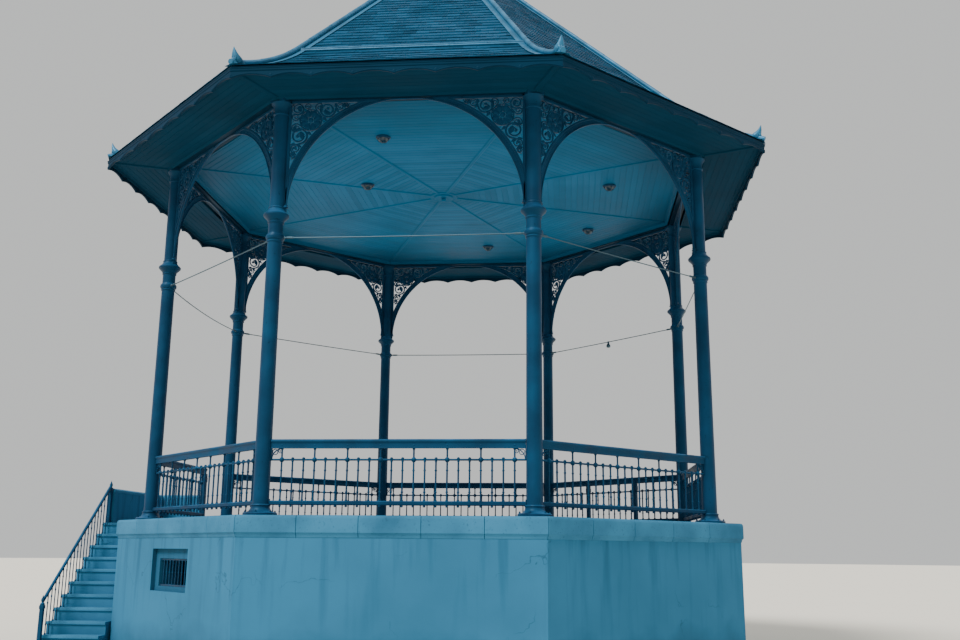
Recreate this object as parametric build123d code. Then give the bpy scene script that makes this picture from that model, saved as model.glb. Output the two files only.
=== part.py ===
from build123d import *
from math import asin, cos, hypot, pi, radians, sin, sqrt, tan
import os

# Driving dimensions, in millimetres
# Plan of the octagon
BAYS = 8
COLUMN_CIRCLE = 4500.0
BASE_LEDGE = 430.0
EAVE_OVERHANG = 1070.0
ROUND_SIDES = 16

# Platform
FLOOR_LEVEL = 2000.0
BASE_WALL = 400.0
GROUND_SLAB = 120.0
COPING_HEIGHT = 270.0
COPING_WIDTH = 300.0
COPING_PROUD = 36.0

# Vent in the left front side of the platform
VENT_WIDTH = 1130.0
VENT_HEIGHT = 560.0
VENT_CENTRE = 1310.0
VENT_REBATE = 60.0
VENT_FRAME = 130.0
VENT_BARS = 7
VENT_BAR = 24.0

# Columns
SHAFT_FOOT = 210.0
SHAFT_HEAD = 196.0
FOOT_DIAMETER = 430.0
FOOT_PLATE = 45.0
FOOT_HEIGHT = 138.0
BELL_WAIST = 0.35
LOWER_RING_LEVEL = 3640.0
LOWER_RING = 252.0
LOWER_RING_HEIGHT = 80.0
COLLAR_LEVEL = 3945.0
COLLAR = 340.0
COLLAR_HEIGHT = 230.0
COLLAR_NECK = 0.35

# Beam over the columns, ceiling and eaves
BEAM_LEVEL = 5600.0
BEAM_HEIGHT = 220.0
BEAM_WIDTH = 240.0
CEILING_LEVEL = 5670.0
BOARD = 25.0
FASCIA = 30.0
FASCIA_HEIGHT = 140.0
SCALLOPS = 8
SCALLOP_DEPTH = 50.0
SCALLOP_CHORDS = 4

# Arches
ARCH_HALF_SPAN = 1600.0
ARCH_RISE = 1165.0
ARCH_PLATE = 30.0
ARCH_RIM = 42.0
HOLE_BAR = 14.0
HOLE_SIDES = 8
ARCH_CHORDS = 8
HOLE_PLACES = ((47, True), (58, True), (33, False), (23, False))
CROWN_GAP = 2.0

# Railings
RAIL_LEVEL = 900.0
RAIL_DEPTH = 100.0
RAIL_WIDTH = 70.0
RAIL_NECK = 40.0
THIN_RAIL_LEVEL = 700.0
THIN_RAIL = 22.0
BOTTOM_RAIL_LEVEL = 162.0
BOTTOM_RAIL = 44.0
BALUSTER = 18.0
BALUSTER_SPREAD = 0.58
BALUSTER_PITCH = 140.0
RAIL_POST = 80.0
GATE_POST_SHARE = 0.641
THIRDS = (0.325, 0.676)

# Roof
ROOF_PLATE = 50.0
EAVE_LIFT = 72.0
BREAK_SETBACK = 300.0
BREAK_RISE = 838.0
HIP_SLOPE = 0.94
APEX_CORNER = 150.0
RAFTER_WIDTH = 90.0
RAFTER_DEPTH = 160.0
FLARE_CHORDS = 5
HIP_ROLL = 76.0
HIP_ROLL_SETBACK = 40.0
BREAK_ROLL = 70.0
CORNER_TIP = 200.0
TIP_LEAN = 14.0
FINIAL_HEIGHT = 950.0
FINIAL_BALL = 300.0
FINIAL_BALL_SHARE = 0.42
FINIAL_STEM = 60.0
FINIAL_CAP = 50.0
FINIAL_CAP_PROUD = 30.0

# Tie wires
WIRE = 18.0
SLACK_WIRE = "left"
SLACK = 60.0
SLACK_CHORDS = 4

# Stair and landing on the left side
STAIR_WIDTH = 900.0
LANDING_FRONT = -415.0
LANDING_BACK = 1800.0
RISERS = 11
GOING = 195.0
PARAPET = 120.0
PARAPET_HEIGHT = 560.0
STAIR_RAIL_HEIGHT = 620.0
NEWEL = 70.0
NEWEL_HEIGHT = 690.0
FOOT_NEWEL_HEIGHT = 750.0
STAIR_RAIL = 50.0

# A seat between sloping pieces
SEAT = 0.3

# Values worked out from the sizes above
HALF_TURN = pi / BAYS
TURN = 360.0 / BAYS
COLUMN_APOTHEM = COLUMN_CIRCLE * cos(HALF_TURN)
HALF_BAY = COLUMN_CIRCLE * sin(HALF_TURN)
BASE_CORNER = COLUMN_CIRCLE + BASE_LEDGE
BASE_APOTHEM = BASE_CORNER * cos(HALF_TURN)
EAVE_CORNER = COLUMN_CIRCLE + EAVE_OVERHANG
EAVE_LEVEL = BEAM_LEVEL + EAVE_LIFT
BREAK_CORNER = COLUMN_CIRCLE - BREAK_SETBACK
BREAK_LEVEL = EAVE_LEVEL + BREAK_RISE
EAVE_APOTHEM = EAVE_CORNER * cos(HALF_TURN)
RISE = FLOOR_LEVEL / RISERS

SIDE_NAMES = ("front", "right_front", "right", "right_back", "back", "left_back", "left", "left_front")
COLUMN_NAMES = (
    "front_right",
    "right_front",
    "right_back",
    "back_right",
    "back_left",
    "left_back",
    "left_front",
    "front_left",
)


def save(name, shape):
    """Write one sub-part to its own file."""
    os.makedirs("parts", exist_ok=True)
    if isinstance(shape, (list, tuple)):
        solids = [solid for piece in shape for solid in piece.solids()]
        shape = solids[0] if len(solids) == 1 else Compound(children=solids)
    export_step(shape, f"parts/{name}.step")


def side_angle(index):
    """Direction that a side of the octagon faces, in degrees from +X."""
    return -90.0 + index * TURN


def to_side(shape, index):
    """Turn a piece made for the front side, which faces -Y, to another side."""
    return shape.rotate(Axis.Z, index * TURN)


def prism(corner, low, high):
    """An eight-sided block with a corner radius, between two levels."""
    outline = RegularPolygon(corner, BAYS, rotation=TURN / 2)
    return Pos(0, 0, low) * extrude(outline, high - low)


def ring(outer_apothem, inner_apothem, low, high):
    """An eight-sided ring between two levels."""
    outer = prism(outer_apothem / cos(HALF_TURN), low, high)
    return outer - prism(inner_apothem / cos(HALF_TURN), low, high)


def upright(sketch, y, thickness):
    """Stand a sketch drawn in X and height on the front side, centred on a depth y."""
    return extrude(Plane(origin=(0, y, 0), x_dir=(1, 0, 0), z_dir=(0, -1, 0)) * sketch, thickness / 2, both=True)


def turned(profile):
    """A many-sided turned piece from (radius, level) points, bottom to top, closed by flat faces."""
    turns = [2 * pi * count / ROUND_SIDES for count in range(ROUND_SIDES)]
    rows = [[(radius * cos(turn), radius * sin(turn), level) for turn in turns] for radius, level in profile]
    faces = []
    for low, high in zip(rows, rows[1:]):
        for count in range(ROUND_SIDES):
            near, far = low[count], low[(count + 1) % ROUND_SIDES]
            faces.append(make_face(Polyline(near, far, high[(count + 1) % ROUND_SIDES], high[count], near)).face())
    for end in (rows[0], rows[-1]):
        faces.append(make_face(Polyline(*end, end[0])).face())
    return Solid(Shell(faces))


def bar(x0, x1, y0, y1, z0, z1):
    """A straight block between two corners."""
    return Pos((x0 + x1) / 2, (y0 + y1) / 2, (z0 + z1) / 2) * Box(x1 - x0, y1 - y0, z1 - z0)


# Platform
def base_wall():
    """Rendered masonry wall round the platform on its ground slab, with the vent cut through one side."""
    top = FLOOR_LEVEL - COPING_HEIGHT
    inside = prism((BASE_APOTHEM - BASE_WALL) / cos(HALF_TURN), GROUND_SLAB, top)
    wall = prism(BASE_CORNER, 0, top) - inside
    face = -BASE_APOTHEM
    rebate = bar(
        -VENT_WIDTH / 2,
        VENT_WIDTH / 2,
        face - 1,
        face + VENT_REBATE,
        VENT_CENTRE - VENT_HEIGHT / 2,
        VENT_CENTRE + VENT_HEIGHT / 2,
    )
    hole = bar(
        -VENT_WIDTH / 2 + VENT_FRAME,
        VENT_WIDTH / 2 - VENT_FRAME,
        face - 1,
        face + BASE_WALL + 1,
        VENT_CENTRE - VENT_HEIGHT / 2 + VENT_FRAME / 2,
        VENT_CENTRE + VENT_HEIGHT / 2 - VENT_FRAME,
    )
    return wall - to_side(rebate, 7) - to_side(hole, 7)


def vent_grille():
    """Upright iron bars that close the vent, between two flat rails."""
    low = VENT_CENTRE - VENT_HEIGHT / 2 + VENT_FRAME / 2
    high = VENT_CENTRE + VENT_HEIGHT / 2 - VENT_FRAME
    half = VENT_WIDTH / 2 - VENT_FRAME
    middle = -BASE_APOTHEM + VENT_REBATE + VENT_BAR
    depth = (middle - VENT_BAR / 2, middle + VENT_BAR / 2)
    grille = bar(-half, half, *depth, low, low + VENT_BAR) + bar(-half, half, *depth, high - VENT_BAR, high)
    pitch = 2 * half / (VENT_BARS + 1)
    for count in range(1, VENT_BARS + 1):
        x = -half + count * pitch
        grille += bar(x - VENT_BAR / 2, x + VENT_BAR / 2, *depth, low, high)
    return to_side(grille, 7)


def coping():
    """Moulded edge course that stands a little proud of the wall."""
    outer = BASE_APOTHEM + COPING_PROUD
    return ring(outer, BASE_APOTHEM + COPING_PROUD - COPING_WIDTH, FLOOR_LEVEL - COPING_HEIGHT, FLOOR_LEVEL)


def floor_slab():
    """Floor inside the coping, resting on the inner edge of the wall."""
    corner = (BASE_APOTHEM + COPING_PROUD - COPING_WIDTH) / cos(HALF_TURN)
    return prism(corner, FLOOR_LEVEL - COPING_HEIGHT, FLOOR_LEVEL)


# Columns
def column_profile():
    """Outline of a cast column, as radius and height above the floor."""
    foot = FOOT_DIAMETER / 2
    low = SHAFT_FOOT / 2
    high = SHAFT_HEAD / 2
    flare = foot - low
    bell = FOOT_HEIGHT - FOOT_PLATE
    ring_half = LOWER_RING_HEIGHT / 2
    collar_half = COLLAR_HEIGHT / 2
    neck = high + (COLLAR / 2 - high) * COLLAR_NECK
    return [
        (foot, 0),
        (foot, FOOT_PLATE),
        (low + flare * BELL_WAIST, FOOT_PLATE + bell * BELL_WAIST),
        (low, FOOT_HEIGHT),
        (high, LOWER_RING_LEVEL - ring_half),
        (LOWER_RING / 2, LOWER_RING_LEVEL - ring_half / 2),
        (LOWER_RING / 2, LOWER_RING_LEVEL + ring_half / 2),
        (high, LOWER_RING_LEVEL + ring_half),
        (high, COLLAR_LEVEL - collar_half),
        (neck, COLLAR_LEVEL - collar_half / 2),
        (COLLAR / 2, COLLAR_LEVEL),
        (neck, COLLAR_LEVEL + collar_half / 2),
        (high, COLLAR_LEVEL + collar_half),
        (high, BEAM_LEVEL),
    ]


def column(index):
    """One round column at a corner of the column circle."""
    angle = radians(side_angle(index) + TURN / 2)
    shape = turned(column_profile())
    return Pos(COLUMN_CIRCLE * cos(angle), COLUMN_CIRCLE * sin(angle), FLOOR_LEVEL) * shape


# Arches
def ellipse_point(turn):
    """A point on the arch curve, as span and level."""
    springing = BEAM_LEVEL - ARCH_RISE
    return ARCH_HALF_SPAN * cos(turn), springing + ARCH_RISE * sin(turn)


def arch_opening():
    """The space under the arch curve, as a quarter of an ellipse."""
    curve = [ellipse_point(count / ARCH_CHORDS * pi / 2) for count in range(ARCH_CHORDS + 1)]
    centre = (0, BEAM_LEVEL - ARCH_RISE)
    return make_face(Polyline(centre, *curve, centre))


def arch_circle(turn, against_top):
    """A circle that fits between the arch curve and the top bar or the side bar."""
    x, z = ellipse_point(turn)
    nx = cos(turn) / ARCH_HALF_SPAN
    nz = sin(turn) / ARCH_RISE
    length = hypot(nx, nz)
    nx, nz = nx / length, nz / length
    side = HALF_BAY - SHAFT_HEAD / 2 - ARCH_RIM
    top = BEAM_LEVEL - ARCH_RIM
    if against_top:
        radius = (top - z - nz * ARCH_RIM) / (1 + nz)
    else:
        radius = (side - x - nx * ARCH_RIM) / (1 + nx)
    return x + nx * (ARCH_RIM + radius), z + nz * (ARCH_RIM + radius), radius


def spandrel():
    """Pierced corner plate between a column, the beam and the arch curve."""
    springing = BEAM_LEVEL - ARCH_RISE
    side = HALF_BAY - SHAFT_HEAD / 2
    field = Pos((CROWN_GAP + side) / 2, (springing + BEAM_LEVEL) / 2) * Rectangle(side - CROWN_GAP, ARCH_RISE)
    plate = field - arch_opening()
    for degrees, against_top in HOLE_PLACES:
        x, z, radius = arch_circle(radians(degrees), against_top)
        plate -= Pos(x, z) * RegularPolygon(radius - HOLE_BAR, HOLE_SIDES, major_radius=False)
    return plate


def arch(index):
    """Two spandrels that close one bay under the beam."""
    plate = upright(Pos(0, FLOOR_LEVEL) * spandrel(), -COLUMN_APOTHEM, ARCH_PLATE)
    pair = [plate, plate.mirror(Plane.YZ)]
    return [to_side(piece, index) for piece in pair]


# Beam, ceiling and eaves
def ring_beam():
    """Beam on the columns' heads."""
    half = BEAM_WIDTH / 2
    low = FLOOR_LEVEL + BEAM_LEVEL
    return ring(COLUMN_APOTHEM + half, COLUMN_APOTHEM - half, low, low + BEAM_HEIGHT)


def ceiling():
    """Boarded ceiling between the beams."""
    corner = (COLUMN_APOTHEM - BEAM_WIDTH / 2) / cos(HALF_TURN)
    low = FLOOR_LEVEL + CEILING_LEVEL
    return prism(corner, low, low + BOARD)


def soffit():
    """Boards under the eaves, from the beam to the fascia."""
    high = FLOOR_LEVEL + eave_underside(EAVE_APOTHEM - FASCIA)
    return ring(EAVE_APOTHEM - FASCIA, COLUMN_APOTHEM + BEAM_WIDTH / 2, high - BOARD, high)


def fascia_valance():
    """Eaves board with a scalloped lower edge, mitred at the corners."""
    top = FLOOR_LEVEL + eave_underside(EAVE_APOTHEM)
    low = top - FASCIA_HEIGHT
    board = ring(EAVE_APOTHEM, EAVE_APOTHEM - FASCIA, low, top)
    length = 2 * EAVE_APOTHEM * tan(HALF_TURN)
    pitch = length / SCALLOPS
    radius = (pitch * pitch / 4 + SCALLOP_DEPTH * SCALLOP_DEPTH) / (2 * SCALLOP_DEPTH)
    spread = asin(pitch / 2 / radius)
    cuts = []
    for side in range(BAYS):
        for count in range(SCALLOPS):
            x = -length / 2 + (count + 0.5) * pitch
            turns = [spread * (2 * step / SCALLOP_CHORDS - 1) for step in range(SCALLOP_CHORDS + 1)]
            edge = [(x + radius * sin(turn), low + SCALLOP_DEPTH - radius * (1 - cos(turn))) for turn in turns]
            below = ((x + pitch / 2, low - SCALLOP_DEPTH), (x - pitch / 2, low - SCALLOP_DEPTH))
            cut = upright(make_face(Polyline(*edge, *below, edge[0])), -EAVE_APOTHEM, 3 * FASCIA)
            cuts.append(to_side(cut, side))
    return board - cuts


# Roof
def roof_curve():
    """Values of the roof's section through the middle of a side: a straight upper slope and a flared foot."""
    slope = HIP_SLOPE / cos(HALF_TURN)
    length = hypot(1, slope)
    normal = Vector(slope / length, 1 / length)
    bend = Vector(BREAK_CORNER * cos(HALF_TURN), BREAK_LEVEL)
    eave = Vector(EAVE_APOTHEM, EAVE_LEVEL)
    chord = eave - bend
    radius = chord.dot(chord) / (2 * chord.dot(normal))
    centre = bend + normal * radius
    return slope, normal, bend, eave, radius, centre


def roof_level(distance, depth=0.0):
    """Level of the roof's outside, or of a surface below it, at a distance from the middle axis."""
    slope, normal, bend, eave, radius, centre = roof_curve()
    lower_bend = bend - normal * depth
    if distance <= lower_bend.X:
        return lower_bend.Y + (lower_bend.X - distance) * slope
    reach = radius + depth
    return centre.Y - sqrt(reach * reach - (distance - centre.X) ** 2)


def eave_underside(distance):
    """Level of the roof plate's underside near the eaves."""
    return roof_level(distance, ROOF_PLATE) - SEAT


def roof_section(top_depth, bottom_depth, inner, outer):
    """Section of a layer of the roof between two depths, through the middle of a side."""
    def curve(depth):
        bend = roof_curve()[2] - roof_curve()[1] * depth
        steps = [bend.X + (outer - bend.X) * count / FLARE_CHORDS for count in range(FLARE_CHORDS + 1)]
        return [(distance, roof_level(distance, depth)) for distance in [inner] + steps]
    top = curve(top_depth)
    bottom = curve(bottom_depth)
    return make_face(Polyline(*top, *reversed(bottom), top[0]))


def roof_panel(index):
    """One side of the bell-shaped roof, cut to the hips on both sides."""
    section = roof_section(0, ROOF_PLATE, APEX_CORNER * cos(HALF_TURN), EAVE_APOTHEM)
    width = EAVE_APOTHEM
    layer = extrude(Plane.YZ * (Pos(0, FLOOR_LEVEL) * section), width, both=True).rotate(Axis.Z, 180)
    reach = EAVE_CORNER
    half = reach * tan(HALF_TURN)
    wedge = make_face(Polyline((0, 0), (-half, -reach), (half, -reach), (0, 0)))
    wedge = extrude(wedge, FLOOR_LEVEL + 2 * BREAK_LEVEL)
    return to_side(layer & wedge, index)


def hip_section(top_depth, bottom_depth, inner, outer):
    """Section of a strip along a hip: the side's section with its distances stretched to the corner."""
    stretch = 1 / cos(HALF_TURN)
    knee = roof_curve()[2].X
    run = outer * cos(HALF_TURN) - knee
    stations = [inner * cos(HALF_TURN), knee]
    stations += [knee + run * count / FLARE_CHORDS for count in range(1, FLARE_CHORDS + 1)]
    top = [(s * stretch, roof_level(s) - top_depth) for s in stations]
    bottom = [(s * stretch, roof_level(s) - bottom_depth) for s in reversed(stations)]
    return make_face(Polyline(*top, *bottom, top[0]))


def hip_plane(index):
    """Upright plane through the middle axis and a corner of the octagon."""
    angle = radians(side_angle(index) + TURN / 2)
    return Plane(origin=(0, 0, FLOOR_LEVEL), x_dir=(cos(angle), sin(angle), 0), z_dir=(sin(angle), -cos(angle), 0))


def hip_rafters():
    """Rafters under the hips, with a leg to the beam over each column."""
    slope = HIP_SLOPE / cos(HALF_TURN)
    drop = ROOF_PLATE * hypot(1, slope) + RAFTER_WIDTH / 2 * slope * sin(HALF_TURN) + SEAT
    section = hip_section(drop, drop + RAFTER_DEPTH, RAFTER_WIDTH * 2, COLUMN_CIRCLE)
    leg_low = BEAM_LEVEL + BEAM_HEIGHT
    leg_high = roof_level(COLUMN_APOTHEM) - drop - RAFTER_DEPTH / 2
    leg = Pos(COLUMN_CIRCLE - RAFTER_WIDTH / 2, (leg_low + leg_high) / 2) * Rectangle(RAFTER_WIDTH, leg_high - leg_low)
    section += leg
    return [extrude(hip_plane(index) * section, RAFTER_WIDTH / 2, both=True) for index in range(BAYS)]


def corner_tip(index):
    """Pinched pointed ornament on the lower end of a hip."""
    low = roof_level(EAVE_APOTHEM) + HIP_ROLL
    point = (EAVE_CORNER + TIP_LEAN, low + CORNER_TIP)
    blade = Polyline(
        (EAVE_CORNER - CORNER_TIP, low + CORNER_TIP / 2),
        (EAVE_CORNER - CORNER_TIP / 3, low + CORNER_TIP / 4),
        point,
        (point[0] + TIP_LEAN, point[1] - TIP_LEAN / 2),
        (EAVE_CORNER, low - HIP_ROLL / 2),
        (EAVE_CORNER - CORNER_TIP, low + TIP_LEAN),
        (EAVE_CORNER - CORNER_TIP, low + CORNER_TIP / 2),
    )
    return extrude(hip_plane(index) * make_face(blade), HIP_ROLL / 3, both=True)


def hip_rolls(panels):
    """Covers along the hips, seated on the panels, each with its pointed ornament at the eaves."""
    rolls = []
    for index in range(BAYS):
        section = hip_section(-HIP_ROLL, HIP_ROLL / 2, APEX_CORNER + HIP_ROLL_SETBACK, EAVE_CORNER)
        roll = extrude(hip_plane(index) * section, HIP_ROLL / 2, both=True)
        roll = roll - panels[index] - panels[(index + 1) % BAYS]
        roll = max(roll.solids(), key=lambda solid: solid.volume)
        rolls.append(roll + corner_tip(index))
    return rolls


def break_roll(panels, rolls):
    """Flashing roll across the sides where the flare meets the upper slope, between the hip rolls."""
    middle = BREAK_CORNER * cos(HALF_TURN)
    half = BREAK_ROLL / 2
    level = FLOOR_LEVEL + BREAK_LEVEL
    band = ring(middle + half, middle - half, level - half, level + half)
    whole = band
    for panel in panels:
        whole = whole - panel
    for roll in rolls:
        whole = whole - roll
    return [solid for solid in whole.solids() if solid.center().Z > level - half / 2]


def finial():
    """Turned finial on a round cap over the roof's apex."""
    cap = APEX_CORNER + FINIAL_CAP_PROUD
    low = roof_level(APEX_CORNER * cos(HALF_TURN)) + SEAT
    ball = FINIAL_BALL / 2
    middle = FINIAL_HEIGHT * FINIAL_BALL_SHARE
    profile = [
        (cap, 0),
        (cap, FINIAL_CAP),
        (FINIAL_STEM, FINIAL_CAP * 2.2),
        (FINIAL_STEM, middle - ball),
        (ball * 0.75, middle - ball * 0.66),
        (ball, middle),
        (ball * 0.75, middle + ball * 0.66),
        (FINIAL_STEM * 0.8, middle + ball),
        (FINIAL_STEM * 0.2, FINIAL_HEIGHT),
    ]
    return Pos(0, 0, FLOOR_LEVEL + low) * turned(profile)


# Railings
def baluster(x, y, low, high):
    """A slender three-sided bar with one flat to the outside."""
    return Pos(x, y, low) * extrude(RegularPolygon(BALUSTER * BALUSTER_SPREAD, 3, rotation=90), high - low)


def baluster_row(x0, x1):
    """Balusters between two ends: two short ones, then a tall one that reaches the top rail."""
    count = round((x1 - x0) / BALUSTER_PITCH)
    pitch = (x1 - x0) / count
    pieces = []
    for number in range(1, count):
        x = x0 + number * pitch
        tall = number % 3 == 0
        high = RAIL_LEVEL - RAIL_DEPTH / 2 if tall else THIN_RAIL_LEVEL
        pieces.append(baluster(x, 0, BOTTOM_RAIL_LEVEL, high))
    return pieces


def rail_profile():
    """Section of the top rail: a rounded cap over a narrower band."""
    half = RAIL_WIDTH / 2
    neck = RAIL_NECK / 2
    deep = RAIL_DEPTH / 2
    side = [(half - deep / 3, deep), (half, deep * 2 / 3), (half, deep / 3), (neck, 0), (neck, -deep)]
    other = [(-y, z) for y, z in reversed(side)]
    return make_face(Polyline(*side, *other, side[0]))


def railing_run(x0, x1, posts=()):
    """A length of railing in one piece: three rails, balusters and any posts of its own."""
    top = Pos((x0 + x1) / 2, 0, RAIL_LEVEL) * extrude(Plane.YZ * rail_profile(), (x1 - x0) / 2, both=True)
    thin = bar(x0, x1, -THIN_RAIL / 2, THIN_RAIL / 2, THIN_RAIL_LEVEL - THIN_RAIL / 2, THIN_RAIL_LEVEL + THIN_RAIL / 2)
    low = BOTTOM_RAIL_LEVEL
    bottom = bar(x0, x1, -BOTTOM_RAIL / 2, BOTTOM_RAIL / 2, low - BOTTOM_RAIL / 2, low + BOTTOM_RAIL / 2)
    pieces = [thin, bottom] + baluster_row(x0, x1)
    for x in posts:
        pieces.append(bar(x - RAIL_POST / 2, x + RAIL_POST / 2, -RAIL_POST / 2, RAIL_POST / 2, 0, RAIL_LEVEL))
    return top.fuse(*pieces)


def railing(index):
    """Railing of one side, between its columns; the left side leaves the way in open."""
    end = HALF_BAY - SHAFT_FOOT / 2
    name = SIDE_NAMES[index]
    if name == "left":
        gate = (GATE_POST_SHARE - 0.5) * 2 * HALF_BAY
        run = railing_run(-gate, end, posts=(-gate,))
    elif name == "right_back":
        run = railing_run(-end, end, posts=[(share - 0.5) * 2 * HALF_BAY for share in THIRDS])
    else:
        run = railing_run(-end, end)
    return to_side(Pos(0, -COLUMN_APOTHEM, FLOOR_LEVEL) * run, index)


# Tie wires
def tie_wires():
    """Wires from column to column at the lower rings, all straight but a slack one."""
    level = FLOOR_LEVEL + LOWER_RING_LEVEL
    end = HALF_BAY - LOWER_RING / 2
    wires = []
    for index, name in enumerate(SIDE_NAMES):
        sag = SLACK if name == SLACK_WIRE else 0.0
        chords = SLACK_CHORDS if sag else 1
        shares = [2 * step / chords - 1 for step in range(chords + 1)]
        line = [(end * share, -sag * (1 - share * share)) for share in shares]
        strip = [(x, z + WIRE / 2) for x, z in line] + [(x, z - WIRE / 2) for x, z in reversed(line)]
        span = upright(make_face(Polyline(*strip, strip[0])), 0, WIRE)
        wires.append(to_side(Pos(0, -COLUMN_APOTHEM, level) * span, index))
    return wires


# Stair and landing
def stair_edges():
    """Inner and outer faces of the stair, as distances to the left of the middle axis."""
    inner = BASE_APOTHEM + COPING_PROUD
    return -inner, -(inner + STAIR_WIDTH)


def stair():
    """Masonry stair: a landing with a parapet, and solid steps that come down along the platform."""
    inner, outer = stair_edges()
    points = [(LANDING_BACK, 0), (LANDING_BACK, FLOOR_LEVEL), (LANDING_FRONT, FLOOR_LEVEL)]
    for step in range(1, RISERS):
        points.append((LANDING_FRONT - (step - 1) * GOING, FLOOR_LEVEL - step * RISE))
        points.append((LANDING_FRONT - step * GOING, FLOOR_LEVEL - step * RISE))
    points.append((LANDING_FRONT - (RISERS - 1) * GOING, 0))
    points.append(points[0])
    section = make_face(Polyline(*points))
    mass = Pos((inner + outer) / 2, 0, 0) * extrude(Plane.YZ * section, STAIR_WIDTH / 2, both=True)
    high = FLOOR_LEVEL + PARAPET_HEIGHT
    mass += bar(outer, outer + PARAPET, LANDING_FRONT + NEWEL, LANDING_BACK, FLOOR_LEVEL, high)
    mass += bar(outer, inner, LANDING_BACK - PARAPET, LANDING_BACK, FLOOR_LEVEL, high)
    return mass


def stair_railing():
    """Sloping iron rail with balusters, from the newel at the landing to the foot of the flight."""
    inner, outer = stair_edges()
    x = outer + PARAPET / 2
    drop = RISE / GOING
    half = NEWEL / 2
    newel_y = LANDING_FRONT + half
    newel = bar(x - half, x + half, newel_y - half, newel_y + half, FLOOR_LEVEL, FLOOR_LEVEL + NEWEL_HEIGHT)
    foot_y = LANDING_FRONT - (RISERS - 1.5) * GOING
    foot = bar(x - half, x + half, foot_y - half, foot_y + half, RISE, RISE + FOOT_NEWEL_HEIGHT)
    start = FLOOR_LEVEL + STAIR_RAIL_HEIGHT
    slope = make_face(
        Polyline(
            (newel_y, start),
            (foot_y, start - (newel_y - foot_y) * drop),
            (foot_y, start - (newel_y - foot_y) * drop - STAIR_RAIL),
            (newel_y, start - STAIR_RAIL),
            (newel_y, start),
        )
    )
    rail = Pos(x, 0, 0) * extrude(Plane.YZ * slope, STAIR_RAIL / 2, both=True)
    pieces = [newel, foot]
    for step in range(1, RISERS - 1):
        tread = FLOOR_LEVEL - step * RISE
        for share in (0.25, 0.75):
            y = LANDING_FRONT - (step - 1 + share) * GOING
            high = start - (newel_y - y) * drop - STAIR_RAIL / 2
            if y > foot_y + NEWEL:
                pieces.append(baluster(x, y, tread, high))
    return rail.fuse(*pieces)


def main():
    save("base_wall", base_wall())
    save("vent_grille", vent_grille())
    save("coping", coping())
    save("floor_slab", floor_slab())
    for index, name in enumerate(COLUMN_NAMES):
        save(f"column_{name}", column(index))
    for index, name in enumerate(SIDE_NAMES):
        save(f"arch_{name}", arch(index))
        save(f"railing_{name}", railing(index))
    save("ring_beam", ring_beam())
    save("ceiling", ceiling())
    save("soffit", soffit())
    save("fascia_valance", fascia_valance())
    panels = [roof_panel(index) for index in range(BAYS)]
    for name, panel in zip(SIDE_NAMES, panels):
        save(f"roof_{name}", panel)
    rolls = hip_rolls(panels)
    save("hip_rafters", hip_rafters())
    save("hip_rolls", rolls)
    save("break_roll", break_roll(panels, rolls))
    save("finial", finial())
    save("tie_wires", tie_wires())
    save("stair", stair())
    save("stair_railing", stair_railing())


if __name__ == "__main__":
    main()
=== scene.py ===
"""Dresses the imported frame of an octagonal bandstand: cast pieces, roof tiles, boards and finishes."""

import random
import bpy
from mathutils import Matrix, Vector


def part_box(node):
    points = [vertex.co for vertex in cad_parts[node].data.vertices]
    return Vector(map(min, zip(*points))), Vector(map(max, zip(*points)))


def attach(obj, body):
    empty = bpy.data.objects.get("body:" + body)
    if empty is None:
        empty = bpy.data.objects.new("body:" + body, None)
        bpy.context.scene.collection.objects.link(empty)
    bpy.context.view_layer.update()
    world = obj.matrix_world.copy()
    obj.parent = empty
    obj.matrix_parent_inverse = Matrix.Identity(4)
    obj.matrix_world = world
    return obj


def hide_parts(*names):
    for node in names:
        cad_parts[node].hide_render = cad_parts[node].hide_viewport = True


bl_info = {
    "name": "Octagonal bandstand",
    "version": (1, 0, 0),
    "blender": (4, 5, 0),
    "location": "3D View > Sidebar > Bandstand",
    "description": "Details and finishes for an iron bandstand with a bell-shaped roof on a platform",
    "category": "Object",
}

from math import acos, asin, atan2, cos, hypot, pi, radians, sin, sqrt, tan, tau

import bmesh
import bpy
from bmesh.types import BMEdge, BMFace, BMVert
from bpy.props import FloatProperty, FloatVectorProperty, IntProperty, PointerProperty
from mathutils import Matrix, Vector

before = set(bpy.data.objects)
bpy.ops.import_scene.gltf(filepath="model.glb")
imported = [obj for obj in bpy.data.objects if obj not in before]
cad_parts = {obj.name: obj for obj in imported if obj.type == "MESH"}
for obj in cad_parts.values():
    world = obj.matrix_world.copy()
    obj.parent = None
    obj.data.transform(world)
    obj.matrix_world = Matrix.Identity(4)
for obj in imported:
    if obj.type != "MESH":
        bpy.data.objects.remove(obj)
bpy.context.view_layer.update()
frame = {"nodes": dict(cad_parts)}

SIDES = ("front", "right_front", "right", "right_back", "back", "left_back", "left", "left_front")
CORNERS = ("front_right", "right_front", "right_back", "back_right")
CORNERS += ("back_left", "left_back", "left_front", "front_left")
TURN = tau / len(SIDES)
HALF = TURN / 2
UP = Vector((0, 0, 1))
BACK = Vector((0, 1, 0))
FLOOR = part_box("floor_slab")[1].z
WALL_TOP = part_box("base_wall")[1].z
WALL_FACE = -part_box("base_wall")[0].y
COPING_FACE = -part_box("coping")[0].y
SLAB_EDGE = -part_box("floor_slab")[0].y
BEAM_OUTSIDE = -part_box("ring_beam")[0].y
BEAM_BOTTOM, BEAM_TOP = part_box("ring_beam")[0].z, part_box("ring_beam")[1].z
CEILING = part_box("ceiling")[0].z
CEILING_EDGE = -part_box("ceiling")[0].y
SOFFIT_BOTTOM, SOFFIT_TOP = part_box("soffit")[0].z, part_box("soffit")[1].z
SOFFIT_EDGE = -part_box("soffit")[0].y
FASCIA_BOTTOM, FASCIA_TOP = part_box("fascia_valance")[0].z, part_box("fascia_valance")[1].z
EAVE = -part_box("fascia_valance")[0].y
BAY_LINE = (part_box("arch_front")[0].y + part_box("arch_front")[1].y) / -2

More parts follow.
